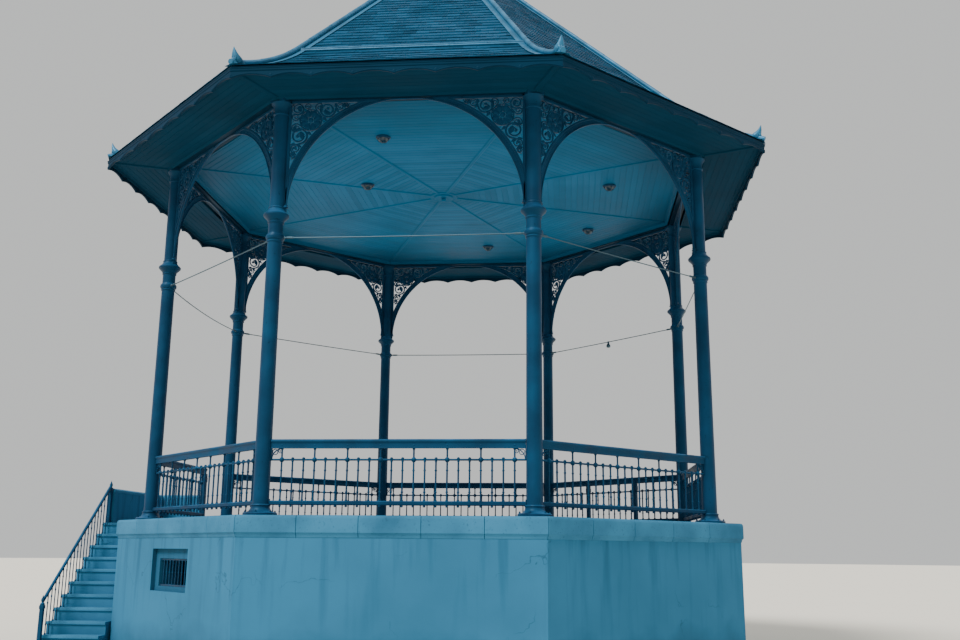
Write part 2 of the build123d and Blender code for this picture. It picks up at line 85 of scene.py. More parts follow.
# The picture's light is graded blue throughout, so the sheen is tinted to match it
PAINT_SHEEN = (0.22, 0.52, 0.72, 1.0)


def linear(code):
    """Turn an sRGB hex colour into the linear values that a shader takes."""
    values = [int(code[place : place + 2], 16) / 255 for place in (1, 3, 5)]
    return tuple(v / 12.92 if v <= 0.04045 else ((v + 0.055) / 1.055) ** 2.4 for v in values)


def length(name, text, default):
    """A size in metres."""
    return FloatProperty(name=name, description=text, default=default, min=0.0, unit="LENGTH", precision=4)


def whole(name, text, default, least=1):
    """A number of pieces."""
    return IntProperty(name=name, description=text, default=default, min=least)


def colour(name, text, code):
    """A colour that a user may change."""
    return FloatVectorProperty(
        name=name, description=text, default=linear(code), size=3, subtype="COLOR", min=0, max=1
    )


class PlatformSizes(bpy.types.PropertyGroup):
    """Sizes of the platform, its floor and its stair."""

    stone_joint: length("Stone joint", "Gap between two coping stones", 0.005)
    tile: length("Floor tile", "Side of a square floor tile", 0.3)
    tile_joint: length("Tile joint", "Width of the joint between floor tiles", 0.005)
    nosing: length("Nosing", "How far a tread stands over its riser", 0.022)
    tread: length("Tread", "Thickness of a tread slab", 0.045)
    capping: length("Capping", "Thickness of the stone on a parapet", 0.07)
    parapet: length("Parapet", "Thickness of the landing's parapet", 0.12)
    stones: whole("Stones", "Coping stones on each side", 5)
    risers: whole("Risers", "Risers from the ground to the floor", 11, 2)


class IronSizes(bpy.types.PropertyGroup):
    """Sizes of the columns, arches and railings."""

    circle: length("Column circle", "Radius of the circle through the columns' centres", 4.5)
    shaft_foot: length("Shaft at foot", "Radius of a column's shaft above its foot", 0.105)
    shaft_head: length("Shaft at head", "Radius of a column's shaft under the beam", 0.098)
    foot: length("Foot", "Radius of a column's foot plate", 0.215)
    lower_ring: length("Lower ring", "Height of a column's lower ring above the floor", 3.64)
    collar: length("Collar", "Height of a column's collar above the floor", 3.945)
    span: length("Half span", "Half the width of an arch at its springing", 1.6)
    rise: length("Rise", "Height of an arch over its springing", 1.6)
    web: length("Web", "Width of an arch's plain web, inside its scrollwork", 0.055)
    rim: length("Rim", "Width of the bars that frame an arch's scrollwork", 0.042)
    plate: length("Plate", "Depth of the scrollwork, outside to inside", 0.03)
    rail: length("Rail level", "Middle of the top rail above the floor", 0.9)
    thin_rail: length("Thin rail level", "Middle of the thin rail above the floor", 0.7)
    bottom_rail: length("Bottom rail level", "Middle of the bottom rail above the floor", 0.162)
    pitch: length("Baluster pitch", "Distance from baluster to baluster", 0.14)
    knob: length("Knob", "Radius of the ball on every third baluster", 0.033)


class RoofSizes(bpy.types.PropertyGroup):
    """Sizes of the roof, its coverings and the boards under it."""

    eave_level: length("Eave level", "Top of the roof at the eaves, over the floor", 5.672)
    break_corner: length("Break corner", "Radius of the corner where the flare starts", 4.2)
    break_level: length("Break level", "Top of the roof where the flare starts, over the floor", 6.51)
    course: length("Course", "Height of a course of tiles that shows", 0.135)
    tile_width: length("Tile width", "Width of a roof tile", 0.19)
    tile: length("Tile", "Thickness of a roof tile", 0.005)
    bed: length("Bed", "Depth of the roof boards under the tiles' faces", 0.026)
    board: length("Board", "Width of a ceiling or soffit board", 0.1)
    hip_wing: length("Hip wing", "Half the width of the sheet over a hip", 0.1)
    hip_roll: length("Hip roll", "Radius of the roll over a hip", 0.034)
    sheet: length("Sheet length", "Length of one sheet over a hip", 0.62)
    scallops: whole("Scallops", "Scallops along each side of the eaves", 8)
    pitch: FloatProperty(
        name="Pitch", description="Fall of a hip, height over distance", default=0.94, min=0.1
    )


class Finishes(bpy.types.PropertyGroup):
    """Colours of the finishes."""

    iron: colour("Ironwork", "Gloss paint on the cast iron", "#12314c")
    iron_worn: colour("Worn ironwork", "The same paint where weather has dulled it", "#184c70")
    render: colour("Render", "Lime render on the platform", "#2f7196")
    render_dark: colour("Stained render", "The same render where water has run down it", "#1f5676")
    stone: colour("Coping", "Painted stone of the coping and treads", "#34789d")
    tile: colour("Roof tile", "Clay tiles in a slate blue glaze", "#1d5273")
    tile_dark: colour("Dark roof tile", "The darkest of the tiles", "#113750")
    lead: colour("Lead", "Sheet lead on hips, breaks and finial", "#246f96")
    ceiling: colour("Ceiling", "Oil paint on the ceiling boards", "#126a96")
    fascia: colour("Eaves board", "Oil paint on the eaves board and the beam", "#0d2d43")
    soffit: colour("Soffit", "Oil paint on the boards under the eaves", "#11384f")
    floor: colour("Floor tile", "Pale cement floor tiles", "#7699a6")
    floor_dark: colour("Dark floor tile", "Dark cement floor tiles", "#3a6a82")
    stage: colour("Stage floor", "Plain studio floor", "#e9e4d8")


# Small tools for shapes


def mm(pairs, x=0.0, z=0.0):
    """Points in metres from pairs in millimetres that start at a point."""
    return [(x + across / 1000, z + up / 1000) for across, up in pairs]


def fan(first, last, steps):
    """Angles in even steps from the first to the last."""
    return [first + step / steps * (last - first) for step in range(steps + 1)]


def oval(across, up, corners):
    """Outline of a round or oval bar."""
    return [(across * cos(angle), up * sin(angle)) for angle in fan(0, tau, corners)[:-1]]


def rounded_bar(width, height, corner):
    """Outline of a bar with cut corners, centred."""
    x, y = width / 2, height / 2
    right = [(x, corner - y), (x, y - corner), (x - corner, y)]
    left = [(corner - x, y), (-x, y - corner), (-x, corner - y)]
    return right + left + [(corner - x, -y), (x - corner, -y)]


def put(point, scale=(1, 1, 1)):
    """A place with a scale along each axis."""
    return Matrix.Translation(point) @ Matrix.Diagonal((*scale, 1))


def only(kind, geometry):
    """The items of one kind in what a mesh operator returns."""
    return [item for item in geometry if isinstance(item, kind)]


def everything(bm):
    """All vertices, edges and faces."""
    return bm.verts[:] + bm.edges[:] + bm.faces[:]


def sweep(bm, outline, places):
    """Carry an outline through a list of frames, by extruding its face from each to the next."""
    face = bm.faces.new([bm.verts.new(places[0] @ Vector((x, y, 0))) for x, y in outline])
    made = list(face.verts)
    for before, after in zip(places, places[1:]):
        out = bmesh.ops.extrude_face_region(bm, geom=[face])["geom"]
        face = only(BMFace, out)[0]
        fresh = only(BMVert, out)
        bmesh.ops.transform(bm, matrix=after @ before.inverted(), verts=fresh)
        made += fresh
    return made


def places_along(points, up, sizes=None):
    """Frames along a path: X to the side, Y as near up as it can be, Z along the path."""
    places = []
    for number, point in enumerate(points):
        ahead = (points[min(number + 1, len(points) - 1)] - points[max(number - 1, 0)]).normalized()
        side = up.cross(ahead).normalized()
        place = Matrix((side, ahead.cross(side), ahead)).transposed().to_4x4()
        place.translation = point
        if sizes:
            place = place @ Matrix.Diagonal((sizes[number], sizes[number], 1, 1))
        places.append(place)
    return places


def rod(bm, outline, points, up=BACK, sizes=None):
    """Carry an outline along a path."""
    return sweep(bm, outline, places_along(points, up, sizes))


def prism(bm, points, along):
    """Push the face between points along a vector."""
    face = bm.faces.new([bm.verts.new(point) for point in points])
    made = list(face.verts)
    fresh = only(BMVert, bmesh.ops.extrude_face_region(bm, geom=[face])["geom"])
    bmesh.ops.translate(bm, vec=along, verts=fresh)
    return made + fresh


def bar(bm, profile, x0, x1):
    """Carry a profile of (distance out, height) points along the front side."""
    return prism(bm, [(x0, -distance, level) for distance, level in profile], (x1 - x0, 0, 0))


def turn(bm, profile, segments, place=Matrix()):
    """Spin a profile of (radius, height) points into a closed turned piece."""
    verts = [bm.verts.new((radius, 0, level)) for radius, level in profile]
    edges = [bm.edges.new(pair) for pair in zip(verts, verts[1:])]
    bmesh.ops.spin(
        bm, geom=verts + edges, cent=(0, 0, 0), axis=(0, 0, 1), angle=tau, steps=segments, use_merge=True
    )
    made = set(verts)
    for edge in edges:
        made.update(vert for face in edge.link_faces for vert in face.verts)
    more = made
    while more:
        more = {other for vert in made for edge in vert.link_edges for other in edge.verts} - made
        made |= more
    rims = {edge for vert in made for edge in vert.link_edges if len(edge.link_faces) == 1}
    bmesh.ops.holes_fill(bm, edges=list(rims), sides=0)
    bmesh.ops.transform(bm, matrix=place, verts=list(made))
    return list(made)


def block(bm, low, high):
    """A straight block between two corners."""
    low, high = Vector(low), Vector(high)
    bmesh.ops.create_cube(bm, size=1, matrix=put((low + high) / 2, high - low))


def stack(bm, x, y, base, parts, softness, segments=1):
    """Square blocks of (half width, bottom, top) on one another, with soft edges."""
    other = bmesh.new()
    for size, low, high in parts:
        block(other, (x - size, y - size, base + low), (x + size, y + size, base + high))
    soften(other, softness, segments)
    stamp(bm, as_mesh(other))


def swing(bm, angle, verts=None):
    """Turn vertices, or all of them, about the middle axis."""
    matrix = Matrix.Rotation(angle, 3, "Z")
    bmesh.ops.rotate(bm, cent=(0, 0, 0), matrix=matrix, verts=verts or bm.verts[:])


def mitre(bm, gap=0.0, fill=True):
    """Cut everything to the front side's own eighth of the plan."""
    for sign in (1, -1):
        normal = Vector((sign * cos(HALF), sin(HALF), 0))
        cut = bmesh.ops.bisect_plane(
            bm, geom=everything(bm), plane_co=-normal * gap / 2, plane_no=normal, clear_outer=True
        )
        if fill:
            bmesh.ops.holes_fill(bm, edges=only(BMEdge, cut["geom_cut"]), sides=0)


def around(bm):
    """Repeat the front side's pieces about the middle axis."""
    steps = len(SIDES) - 1
    angle, axis = TURN * steps, (0, 0, 1)
    bmesh.ops.spin(
        bm, geom=everything(bm), cent=(0, 0, 0), axis=axis, angle=angle, steps=steps, use_duplicate=True
    )


def soften(bm, width, segments=1):
    """Take the sharpness off the edges that turn more than 30 degrees."""
    least = radians(30)
    sharp = [edge for edge in bm.edges if len(edge.link_faces) == 2 and edge.calc_face_angle(0) > least]
    shape = {"offset_type": "OFFSET", "profile": 0.5, "affect": "EDGES", "clamp_overlap": True}
    bmesh.ops.bevel(bm, geom=sharp, offset=width, segments=segments, material=-1, **shape)


def even_tone(bm, shade):
    """Give a whole piece one shade of its paint."""
    tone = bm.verts.layers.float.new("tone")
    for vert in bm.verts:
        vert[tone] = shade


def stamp(bm, mesh, place=Matrix()):
    """Add a copy of a small mesh at a place."""
    moved = mesh.copy()
    moved.transform(place)
    bm.from_mesh(moved)
    bpy.data.meshes.remove(moved)


def as_mesh(bm):
    """Close a small mesh that is to be stamped."""
    bmesh.ops.recalc_face_normals(bm, faces=bm.faces[:])
    mesh = bpy.data.meshes.new("stamp")
    bm.to_mesh(mesh)
    bm.free()
    return mesh


def placed(mesh, place):
    """A new bmesh that holds a copy of a small mesh at a place."""
    bm = bmesh.new()
    stamp(bm, mesh, place)
    return bm


def add_piece(bm, name, finishes, replaces=(), angle=35, recalculate=True):
    """Turn a bmesh into a finished piece of the object."""
    if recalculate:
        bmesh.ops.recalc_face_normals(bm, faces=bm.faces[:])
    mesh = bpy.data.meshes.new(name)
    bm.to_mesh(mesh)
    bm.free()
    for key in finishes.split():
        mesh.materials.append(finish[key])
    mesh.shade_smooth()
    mesh.set_sharp_from_angle(angle=radians(angle))
    piece = bpy.data.objects.new(name, mesh)
    bpy.context.scene.collection.objects.link(piece)
    evened = piece.modifiers.new("even_normals", "WEIGHTED_NORMAL")
    evened.keep_sharp = True
    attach(piece, "root")
    if replaces:
        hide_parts(*replaces)
    return piece


def repaint(name, *finishes):
    """Give a part of the frame that stays visible its finishes."""
    mesh = frame["nodes"][name].data
    mesh.materials.clear()
    for key in finishes:
        mesh.materials.append(finish[key])


# Finishes

finish = {}


def toned(paint, share=1.0, lift=0.0):
    """A paint made darker or lighter, as the four values that a shader takes."""
    return (*(min(1, v * share + lift) for v in paint), 1.0)


def add_node(tree, kind, settings=None, inputs=None):
    """Add a node with its settings; an input is a value or the (node, output) that feeds it."""
    made = tree.nodes.new("ShaderNode" + kind)
    for name, value in (settings or {}).items():
        setattr(made, name, value)
    for name, value in (inputs or {}).items():
        if isinstance(value, tuple) and isinstance(value[0], bpy.types.Node):
            tree.links.new(value[0].outputs[value[1]], made.inputs[name])
        else:
            made.inputs[name].default_value = value
    return made


class Coat:
    """A finish under way: its material, its shader and its coordinates."""

    def __init__(self, name, values):
        self.material = bpy.data.materials.new(name)
        self.material.use_nodes = True
        self.tree = self.material.node_tree
        self.tree.nodes.clear()
        self.shader = self.node("BsdfPrincipled", {}, values)
        self.node("OutputMaterial", {}, {"Surface": (self.shader, "BSDF")})
        place = self.node("TexCoord")
        self.where, self.flat = (place, "Object"), (place, "UV")

    def node(self, *words):
        """Add a node to this finish."""
        return add_node(self.tree, *words)

    def math(self, operation, *values):
        """Work out a number from values or links."""
        return (self.node("Math", {"operation": operation}, dict(enumerate(values))), "Value")

    def part(self, vector, axis):
        """One axis of a vector."""
        return (self.node("SeparateXYZ", {}, {"Vector": vector}), axis)

    def noise(self, millimetres, detail, vector=None, stretch=None):
        """Noise whose features have a real size, stretched along an axis if asked."""
        vector = vector or self.where
        if stretch:
            vector = (self.node("Mapping", {}, {"Vector": vector, "Scale": stretch}), "Vector")
        values = {"Vector": vector, "Scale": 1000.0 / millimetres, "Detail": detail}
        return (self.node("TexNoise", {}, values), "Fac")

    def tone(self):
        """The shade of its own that a tile or a board has."""
        return (self.node("Attribute", {"attribute_name": "tone"}), "Fac")

    def blend(self, factor, first, second, mode="MIX"):
        """Mix two colours, each a value or a link, by a factor."""
        settings = {"data_type": "RGBA", "blend_type": mode}
        return (self.node("Mix", settings, {0: factor, 6: first, 7: second}), 2)

    def spread(self, value, low, high, to_low=0.0, to_high=1.0):
        """Map a value from one range to another, clamped."""
        values = {"Value": value, "From Min": low, "From Max": high, "To Min": to_low, "To Max": to_high}
        return (self.node("MapRange", {"clamp": True}, values), "Result")

    def veil(self, under, over, value, low, high, most=1.0):
        """Lay one colour over another where a value is high."""
        return self.blend(self.spread(value, low, high, 0.0, most), under, over)

    def bump(self, height, millimetres, strength, under=None):
        """A relief from a height, on top of another one if asked."""
        values = {"Height": height, "Distance": millimetres / 1000.0, "Strength": strength}
        if under:
            values["Normal"] = under
        return (self.node("Bump", {}, values), "Normal")

    def done(self, paint, roughness=None, relief=None):
        """Feed the shader, and give the finished material."""
        for name, value in (("Base Color", paint), ("Roughness", roughness), ("Normal", relief)):
            if isinstance(value, tuple):
                self.tree.links.new(value[0].outputs[value[1]], self.shader.inputs[name])
            elif value is not None:
                self.shader.inputs[name].default_value = value
        return self.material


def glossy(ior, level):
    """Shader values of an oil paint or glaze with the picture's sheen."""
    return {"IOR": ior, "Specular IOR Level": level, "Specular Tint": PAINT_SHEEN}


def cast_iron_gloss(name, paint, worn, roughness=0.42):
    """Cast iron under old oil gloss: sand-cast grain shows, and the paint has chalked on top faces."""
    coat = Coat(name, glossy(1.5, 0.22))
    patches = coat.noise(420, 4)
    upward = coat.part((coat.node("NewGeometry"), "Normal"), "Z")
    chalk = coat.math("MULTIPLY", coat.spread(upward, 0.1, 0.9), coat.spread(patches, 0.35, 0.65))
    drift = coat.veil(toned(paint), toned(worn), patches, 0.35, 0.7, 0.45)
    chalked = coat.blend(chalk, drift, toned(worn, 1.6, 0.01))
    # Chips are a few millimetres across; they are drawn at 45 mm so that they show
    chipped = coat.veil(chalked, toned(paint, 0.45), coat.noise(45, 6), 0.66, 0.74, 0.7)
    rough = coat.spread(patches, 0.3, 0.7, roughness - 0.08, roughness + 0.2)
    return coat.done(chipped, rough, coat.bump(coat.noise(9, 3), 0.5, 0.35))


def lime_render(name, paint, dark, bottom, top):
    """Lime render under limewash: hand-worked swells, streaks below the coping, damp at the foot, cracks."""
    coat = Coat(name, {"IOR": 1.45, "Specular IOR Level": 0.25})
    washed = coat.veil(toned(paint), toned(paint, 0.82), coat.noise(1300, 5), 0.36, 0.66)
    streaks = coat.spread(coat.noise(150, 4, None, (1, 1, 0.09)), 0.5, 0.68, 0.0, 0.75)
    level = coat.part(coat.where, "Z")
    streak = 1.5
    run_down = coat.math("MULTIPLY", coat.spread(level, top - streak, top), streaks)
    stained = coat.blend(run_down, washed, toned(dark))
    rising = coat.math("MULTIPLY_ADD", coat.noise(500, 5), 0.7, -0.2)
    damp_level = coat.math("SUBTRACT", level, rising)
    damp = coat.spread(damp_level, bottom + 0.05, bottom + 0.5, 0.6, 0.0)
    damped = coat.blend(damp, stained, toned(dark, 0.55))
    # Hairline cracks are under 1 mm; they are drawn about 4 mm wide so that they show
    warp = coat.blend(0.22, coat.where, (coat.noise(260, 3)[0], "Color"), "LINEAR_LIGHT")
    values = {"Vector": warp, "Scale": 1000.0 / 1150}
    cells = (coat.node("TexVoronoi", {"feature": "DISTANCE_TO_EDGE"}, values), "Distance")
    here = coat.spread(coat.noise(900, 2), 0.52, 0.6, 0.0, 0.55)
    crack = coat.math("MULTIPLY", coat.spread(cells, 0.0, 0.006, 1.0, 0.0), here)
    cracked = coat.blend(crack, damped, toned(dark, 0.4))
    swell = coat.bump(coat.noise(320, 2), 6.0, 0.5)
    return coat.done(cracked, 0.86, coat.bump(coat.noise(14, 4), 1.6, 0.5, swell))


def painted_stone(name, paint, dark):
    """Sawn stone under limewash: fine saw grain, grime that gathers in patches."""
    coat = Coat(name, {"IOR": 1.45, "Specular IOR Level": 0.3})
    mixed = coat.veil(toned(paint), toned(dark), coat.noise(600, 5), 0.4, 0.72, 0.8)
    specks = coat.noise(25, 5)
    specked = coat.veil(mixed, toned(dark, 0.6), specks, 0.6, 0.72, 0.5)
    return coat.done(specked, 0.8, coat.bump(specks, 1.2, 0.4))


def glazed_tile(name, light, dark):
    """Pressed clay tiles with a dull slate glaze, each fired differently, with lichen and soot between."""
    coat = Coat(name, glossy(1.5, 0.05))
    fired = coat.blend(coat.tone(), toned(dark), toned(light))
    soot_and_shade, lichen = coat.noise(750, 5), coat.noise(60, 5)
    sooted_and_shaded = coat.veil(fired, toned(dark, 0.55), soot_and_shade, 0.48, 0.75, 0.6)
    grown = coat.veil(sooted_and_shaded, toned(light, 1.4, 0.03), lichen, 0.62, 0.72, 0.3)
    return coat.done(grown, coat.spread(soot_and_shade, 0.3, 0.7, 0.5, 0.78), coat.bump(lichen, 1.5, 0.4))


def sheet_lead(name, light):
    """Milled sheet lead dressed by hand: soft dents, pale patina with darker runs."""
    coat = Coat(name, {"Metallic": 0.25, "IOR": 1.5})
    patina = coat.noise(260, 5)
    mixed = coat.veil(toned(light), toned(light, 0.62), patina, 0.38, 0.7)
    return coat.done(mixed, coat.spread(patina, 0.3, 0.7, 0.45, 0.65), coat.bump(coat.noise(70, 2), 3.0, 0.4))


def painted_boards(name, paint, roughness, level, soot_and_shade=0.0):
    """Softwood under oil paint: the grain shows, each board is a shade apart, and painted shade darkens it
    towards the beam.
    """
    coat = Coat(name, glossy(1.48, level))
    grain = coat.noise(26, 4, coat.flat, (0.06, 1, 1))
    shade = coat.blend(coat.tone(), toned(paint, 0.88), toned(paint, 1.07))
    smoked = coat.veil(shade, toned(paint, 0.55), coat.noise(900, 5), 0.42, 0.75, 0.5)
    lined = coat.veil(smoked, toned(paint, 0.6), grain, 0.55, 0.8, 0.3)
    # Painted shade: darker from 2.6 m to 4 m from the axis, where the beam and arches shade the ceiling
    flat = coat.node("VectorMath", {"operation": "MULTIPLY"}, {0: coat.where, 1: (1.0, 1.0, 0.0)})
    reach = coat.node("VectorMath", {"operation": "LENGTH"}, {0: (flat, "Vector")})
    sooted_and_shaded = coat.veil(lined, toned(paint, 0.4), (reach, "Value"), 2.6, 4.0, soot_and_shade)
    return coat.done(sooted_and_shaded, roughness, coat.bump(grain, 0.8, 0.4))


def cement_tile(name, paint):
    """Pressed cement floor tiles, worn dull by feet: fine sand specks and scuffed lighter patches."""
    coat = Coat(name, {"IOR": 1.5, "Specular IOR Level": 0.4})
    specks, scuffs = coat.noise(6, 3), coat.noise(480, 5)
    specked = coat.veil(toned(paint), toned(paint, 0.6), specks, 0.5, 0.75, 0.35)
    scuffed = coat.veil(specked, toned(paint, 1.25, 0.02), scuffs, 0.5, 0.75, 0.5)
    return coat.done(scuffed, coat.spread(scuffs, 0.35, 0.7, 0.4, 0.68), coat.bump(specks, 0.5, 0.3))


def mottled(name, values, millimetres, detail, first, second, roughness=None, relief=None):
    """A plain finish: two colours that a noise mixes, with that noise as its relief if asked."""
    coat = Coat(name, values)
    mottle = coat.noise(millimetres, detail)
    bump = coat.bump(mottle, *relief) if relief else None
    return coat.done(coat.blend(mottle, toned(first), second), roughness, bump)


class BANDSTAND_OT_finishes(bpy.types.Operator):
    """Make the paints, render, tiles, lead and boards"""

    bl_idname = "bandstand.finishes"
    bl_label = "Finishes"

    def execute(self, context):
        paint = context.scene.bandstand_finishes
        dark = paint.render_dark
        finish["iron"] = cast_iron_gloss("cast_iron_gloss_paint", paint.iron, paint.iron_worn)
        finish["wrought"] = cast_iron_gloss("wrought_iron_gloss_paint", paint.iron, paint.iron_worn, 0.5)
        finish["render"] = lime_render("lime_render_limewashed", paint.render, dark, 0.0, WALL_TOP)
        # Painted shade: the vent's recess gets a darker render
        recess_shade = [v * 0.55 for v in dark]
        finish["recess_shade"] = lime_render("lime_render_painted_shade", dark, recess_shade, 0.0, WALL_TOP)
        finish["stone"] = painted_stone("sawn_stone_limewashed", paint.stone, dark)
        finish["tile"] = glazed_tile("clay_tile_slate_glaze", paint.tile, paint.tile_dark)
        finish["lead"] = sheet_lead("sheet_lead_dressed", paint.lead)
        # The ceiling's last value sets how much painted shade it gets towards the beam
        finish["ceiling"] = painted_boards("softwood_board_oil_paint", paint.ceiling, 0.6, 0.12, 0.75)
        finish["soffit"] = painted_boards("softwood_board_dark_paint", paint.soffit, 0.75, 0.04)
        finish["beam"] = painted_boards("softwood_beam_oil_paint", paint.fascia, 0.55, 0.08)
        finish["floor"] = cement_tile("cement_tile_pale", paint.floor)
        finish["floor_dark"] = cement_tile("cement_tile_blue", paint.floor_dark)
        # Drawn steel wire, hot-dip galvanised: dull grey zinc with a light spangle
        zinc, dull = linear("#5d7683"), toned(linear("#33505f"))
        finish["wire"] = mottled(
            "steel_wire_galvanised", {"Metallic": 0.9}, 12, 3, zinc, dull, 0.5, (0.3, 0.3)
        )
        # Pressed bulkhead glass, unlit and dusty: dark and smooth
        glass, dust = linear("#0c2230"), toned(linear("#1f4356"))
        finish["glass"] = mottled("pressed_glass_dusty", {"IOR": 1.52, "Roughness": 0.18}, 40, 4, glass, dust)
        # Matt studio floor, one even pale sheet with the faintest mottle
        matt = {"Roughness": 0.9, "Specular IOR Level": 0.1}
        finish["stage"] = mottled(
            "studio_floor_matt", matt, 4000, 2, paint.stage, toned(paint.stage, 0.97)
        )
        return {"FINISHED"}


# Stage and camera


class BANDSTAND_OT_stage(bpy.types.Operator):
    """Pale studio floor, soft lights and the camera"""

    bl_idname = "bandstand.stage"
    bl_label = "Stage"

    def execute(self, context):
        scene = context.scene
        bm = bmesh.new()
        bmesh.ops.create_circle(bm, cap_ends=True, segments=96, radius=160.0)
        mesh = bpy.data.meshes.new("studio_floor")
        bm.to_mesh(mesh)
        bm.free()
        mesh.materials.append(finish["stage"])
        ground = bpy.data.objects.new("studio_floor", mesh)
        scene.collection.objects.link(ground)
        world = bpy.data.worlds.new("studio_surround")
        world.use_nodes = True
        world.node_tree.nodes.clear()
        pale = {"Color": toned(linear("#eceeed")), "Strength": 0.8}
        shade = add_node(world.node_tree, "Background", {}, pale)
        add_node(world.node_tree, "OutputWorld", {}, {"Surface": (shade, "Background")})
        scene.world = world
        self.light(scene, "key_light", (-0.55, -0.74, 1.05), 4.0, 20, (1.0, 0.98, 0.94))
        self.light(scene, "sky_light", (0.55, 0.75, 0.9), 0.55, 60, (0.92, 0.96, 1.0))
        self.camera(scene)
        return {"FINISHED"}

    def light(self, scene, name, direction, strength, softness, tint):
        """A broad distant light that shines from a direction."""
        data = bpy.data.lights.new(name, "SUN")
        data.energy = strength
        data.angle = radians(softness)
        data.color = tint
        lamp = bpy.data.objects.new(name, data)
        lamp.rotation_mode = "QUATERNION"
        lamp.rotation_quaternion = Vector(direction).to_track_quat("Z", "Y")
        lamp.location = Vector(direction) * 30
        scene.collection.objects.link(lamp)

    def camera(self, scene):
        """The photograph's view: from the front, low down, looking up a little."""
        data = bpy.data.cameras.new("camera")
        data.sensor_width = 36.0
        data.lens = 38.044
        data.clip_end = 400.0
        camera = bpy.data.objects.new("camera", data)
        place = Matrix.Translation((2.160, -16.812, 1.591))
        for degrees_turned, axis in ((5.106, "Z"), (102.832, "X"), (0.468, "Z")):
            place = place @ Matrix.Rotation(radians(degrees_turned), 4, axis)
        camera.matrix_world = place
        scene.collection.objects.link(camera)
        scene.camera = camera


# Platform


def moulding_ring(profile, lengths, gap=0.0):
    """One profile round all eight sides in even lengths, mitred at the corners, with open joints."""
    bm = bmesh.new()
    reach = max(distance for distance, level in profile) * tan(HALF)
    step = 2 * reach / lengths
    for number in range(lengths):
        start = -reach + number * step
        bar(bm, profile, start + gap / 2, start + step - gap / 2)
    mitre(bm, gap)
    bmesh.ops.recalc_face_normals(bm, faces=bm.faces[:])
    if gap:
        soften(bm, 0.003)
    around(bm)
    return bm


class BANDSTAND_OT_platform(bpy.types.Operator):
    """Limewashed platform wall, moulded coping stones and the vent in the left front side"""

    bl_idname = "bandstand.platform"
    bl_label = "Platform"

    def execute(self, context):
        sizes = context.scene.bandstand_platform
        # The base wall's second finish is painted shade inside the vent
        repaint("base_wall", "render", "recess_shade")
        profile = [(SLAB_EDGE, WALL_TOP)]
        profile += mm([(2, 0), (10, 16), (13, 34), (24, 52)], WALL_FACE, WALL_TOP)
        profile += mm([(0, 62)], COPING_FACE, WALL_TOP)
        profile += mm([(0, -45), (-4, -22), (-14, -6), (-30, 0)], COPING_FACE, FLOOR)
        stones = moulding_ring(profile + [(SLAB_EDGE, FLOOR)], sizes.stones, sizes.stone_joint)
        add_piece(stones, "coping_stones", "stone", ["coping"])
        self.vent()
        return {"FINISHED"}

    def vent(self):
        """Round bars between flat rails in the wall's opening, whose inside has painted shade: a darker
        render.
        """
        nodes, straight = frame["nodes"], Matrix.Rotation(TURN, 3, "Z")
        places = [straight @ vert.co for vert in nodes["vent_grille"].data.vertices]
        low = Vector([min(place[axis] for place in places) for axis in range(3)])
        high = Vector([max(place[axis] for place in places) for axis in range(3)])
        splay = 0.25
        # Painted shade: the faces inside the vent's opening take the darker render
        for face in nodes["base_wall"].data.polygons:
            centre = straight @ face.center
            within = all(low[axis] - splay < centre[axis] < high[axis] + splay for axis in (0, 2))
            if within and -WALL_FACE + 0.01 < centre.y < high.y + 0.4:
                face.material_index = 1
        bm = bmesh.new()
        rail, tall = high.y - low.y, high.z - low.z
        for level in (low.z, high.z - rail):
            block(bm, (low.x, low.y, level), (high.x, high.y, level + rail))
        soften(bm, 0.003)
        profile = mm([(9, 0), (13, 6), (9, 14)], 0, rail) + mm([(9, -12), (14, 0), (9, 12)], 0, tall / 2)
        profile += mm([(9, -14), (13, -6), (9, 0)], 0, tall - rail)
        gaps = 9
        for number in range(1, gaps):
            x = low.x + (high.x - low.x) * number / gaps
            turn(bm, profile, 12, put((x, (low.y + high.y) / 2, low.z)))
        for x in (low.x + 0.03, high.x - 0.03):
            for level in (low.z + rail / 2, high.z - rail / 2):
                place = put((x, low.y, level)) @ Matrix.Rotation(pi / 2, 4, "X")
                turn(bm, mm([(0, 7), (6, 5), (9, 0)]), 8, place)
        swing(bm, -TURN)
        add_piece(bm, "vent_bars", "iron", ["vent_grille"])


class BANDSTAND_OT_floor(bpy.types.Operator):
    """Square cement tiles with open joints and a dark border, cut to the octagon"""

    bl_idname = "bandstand.floor"
    bl_label = "Floor"

    def execute(self, context):
        sizes = context.scene.bandstand_platform
        tile, depth = sizes.tile, 0.003
        border = SLAB_EDGE - 1.5 * tile
        count = 2 * int(SLAB_EDGE / tile + 1)
        place = put((0, 0, FLOOR - depth))
        bm = bmesh.new()
        bmesh.ops.create_grid(bm, x_segments=count, y_segments=count, size=count * tile / 2, matrix=place)
        normals = [Matrix.Rotation(index * TURN, 3, "Z") @ -BACK for index in range(len(SIDES))]
        for normal in normals:
            for distance, clear in ((SLAB_EDGE, True), (border, False)):
                bmesh.ops.bisect_plane(
                    bm, geom=everything(bm), plane_co=normal * distance, plane_no=normal, clear_outer=clear
                )
        for face in bm.faces:
            middle = face.calc_center_median()
            outside = max(normal.dot(middle) for normal in normals) > border
            odd = (int(middle.x // tile) + int(middle.y // tile)) % 2
            face.material_index = 1 if outside or odd else 0
        joint = sizes.tile_joint / 2
        bmesh.ops.inset_individual(bm, faces=bm.faces[:], thickness=joint, depth=depth)
        bottom = bmesh.ops.extrude_face_region(bm, geom=bm.faces[:])["geom"]
        for vert in only(BMVert, bottom):
            vert.co.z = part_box("floor_slab")[0].z
        add_piece(bm, "floor_tiles", "floor floor_dark", ["floor_slab"], 20)
        return {"FINISHED"}


# Columns


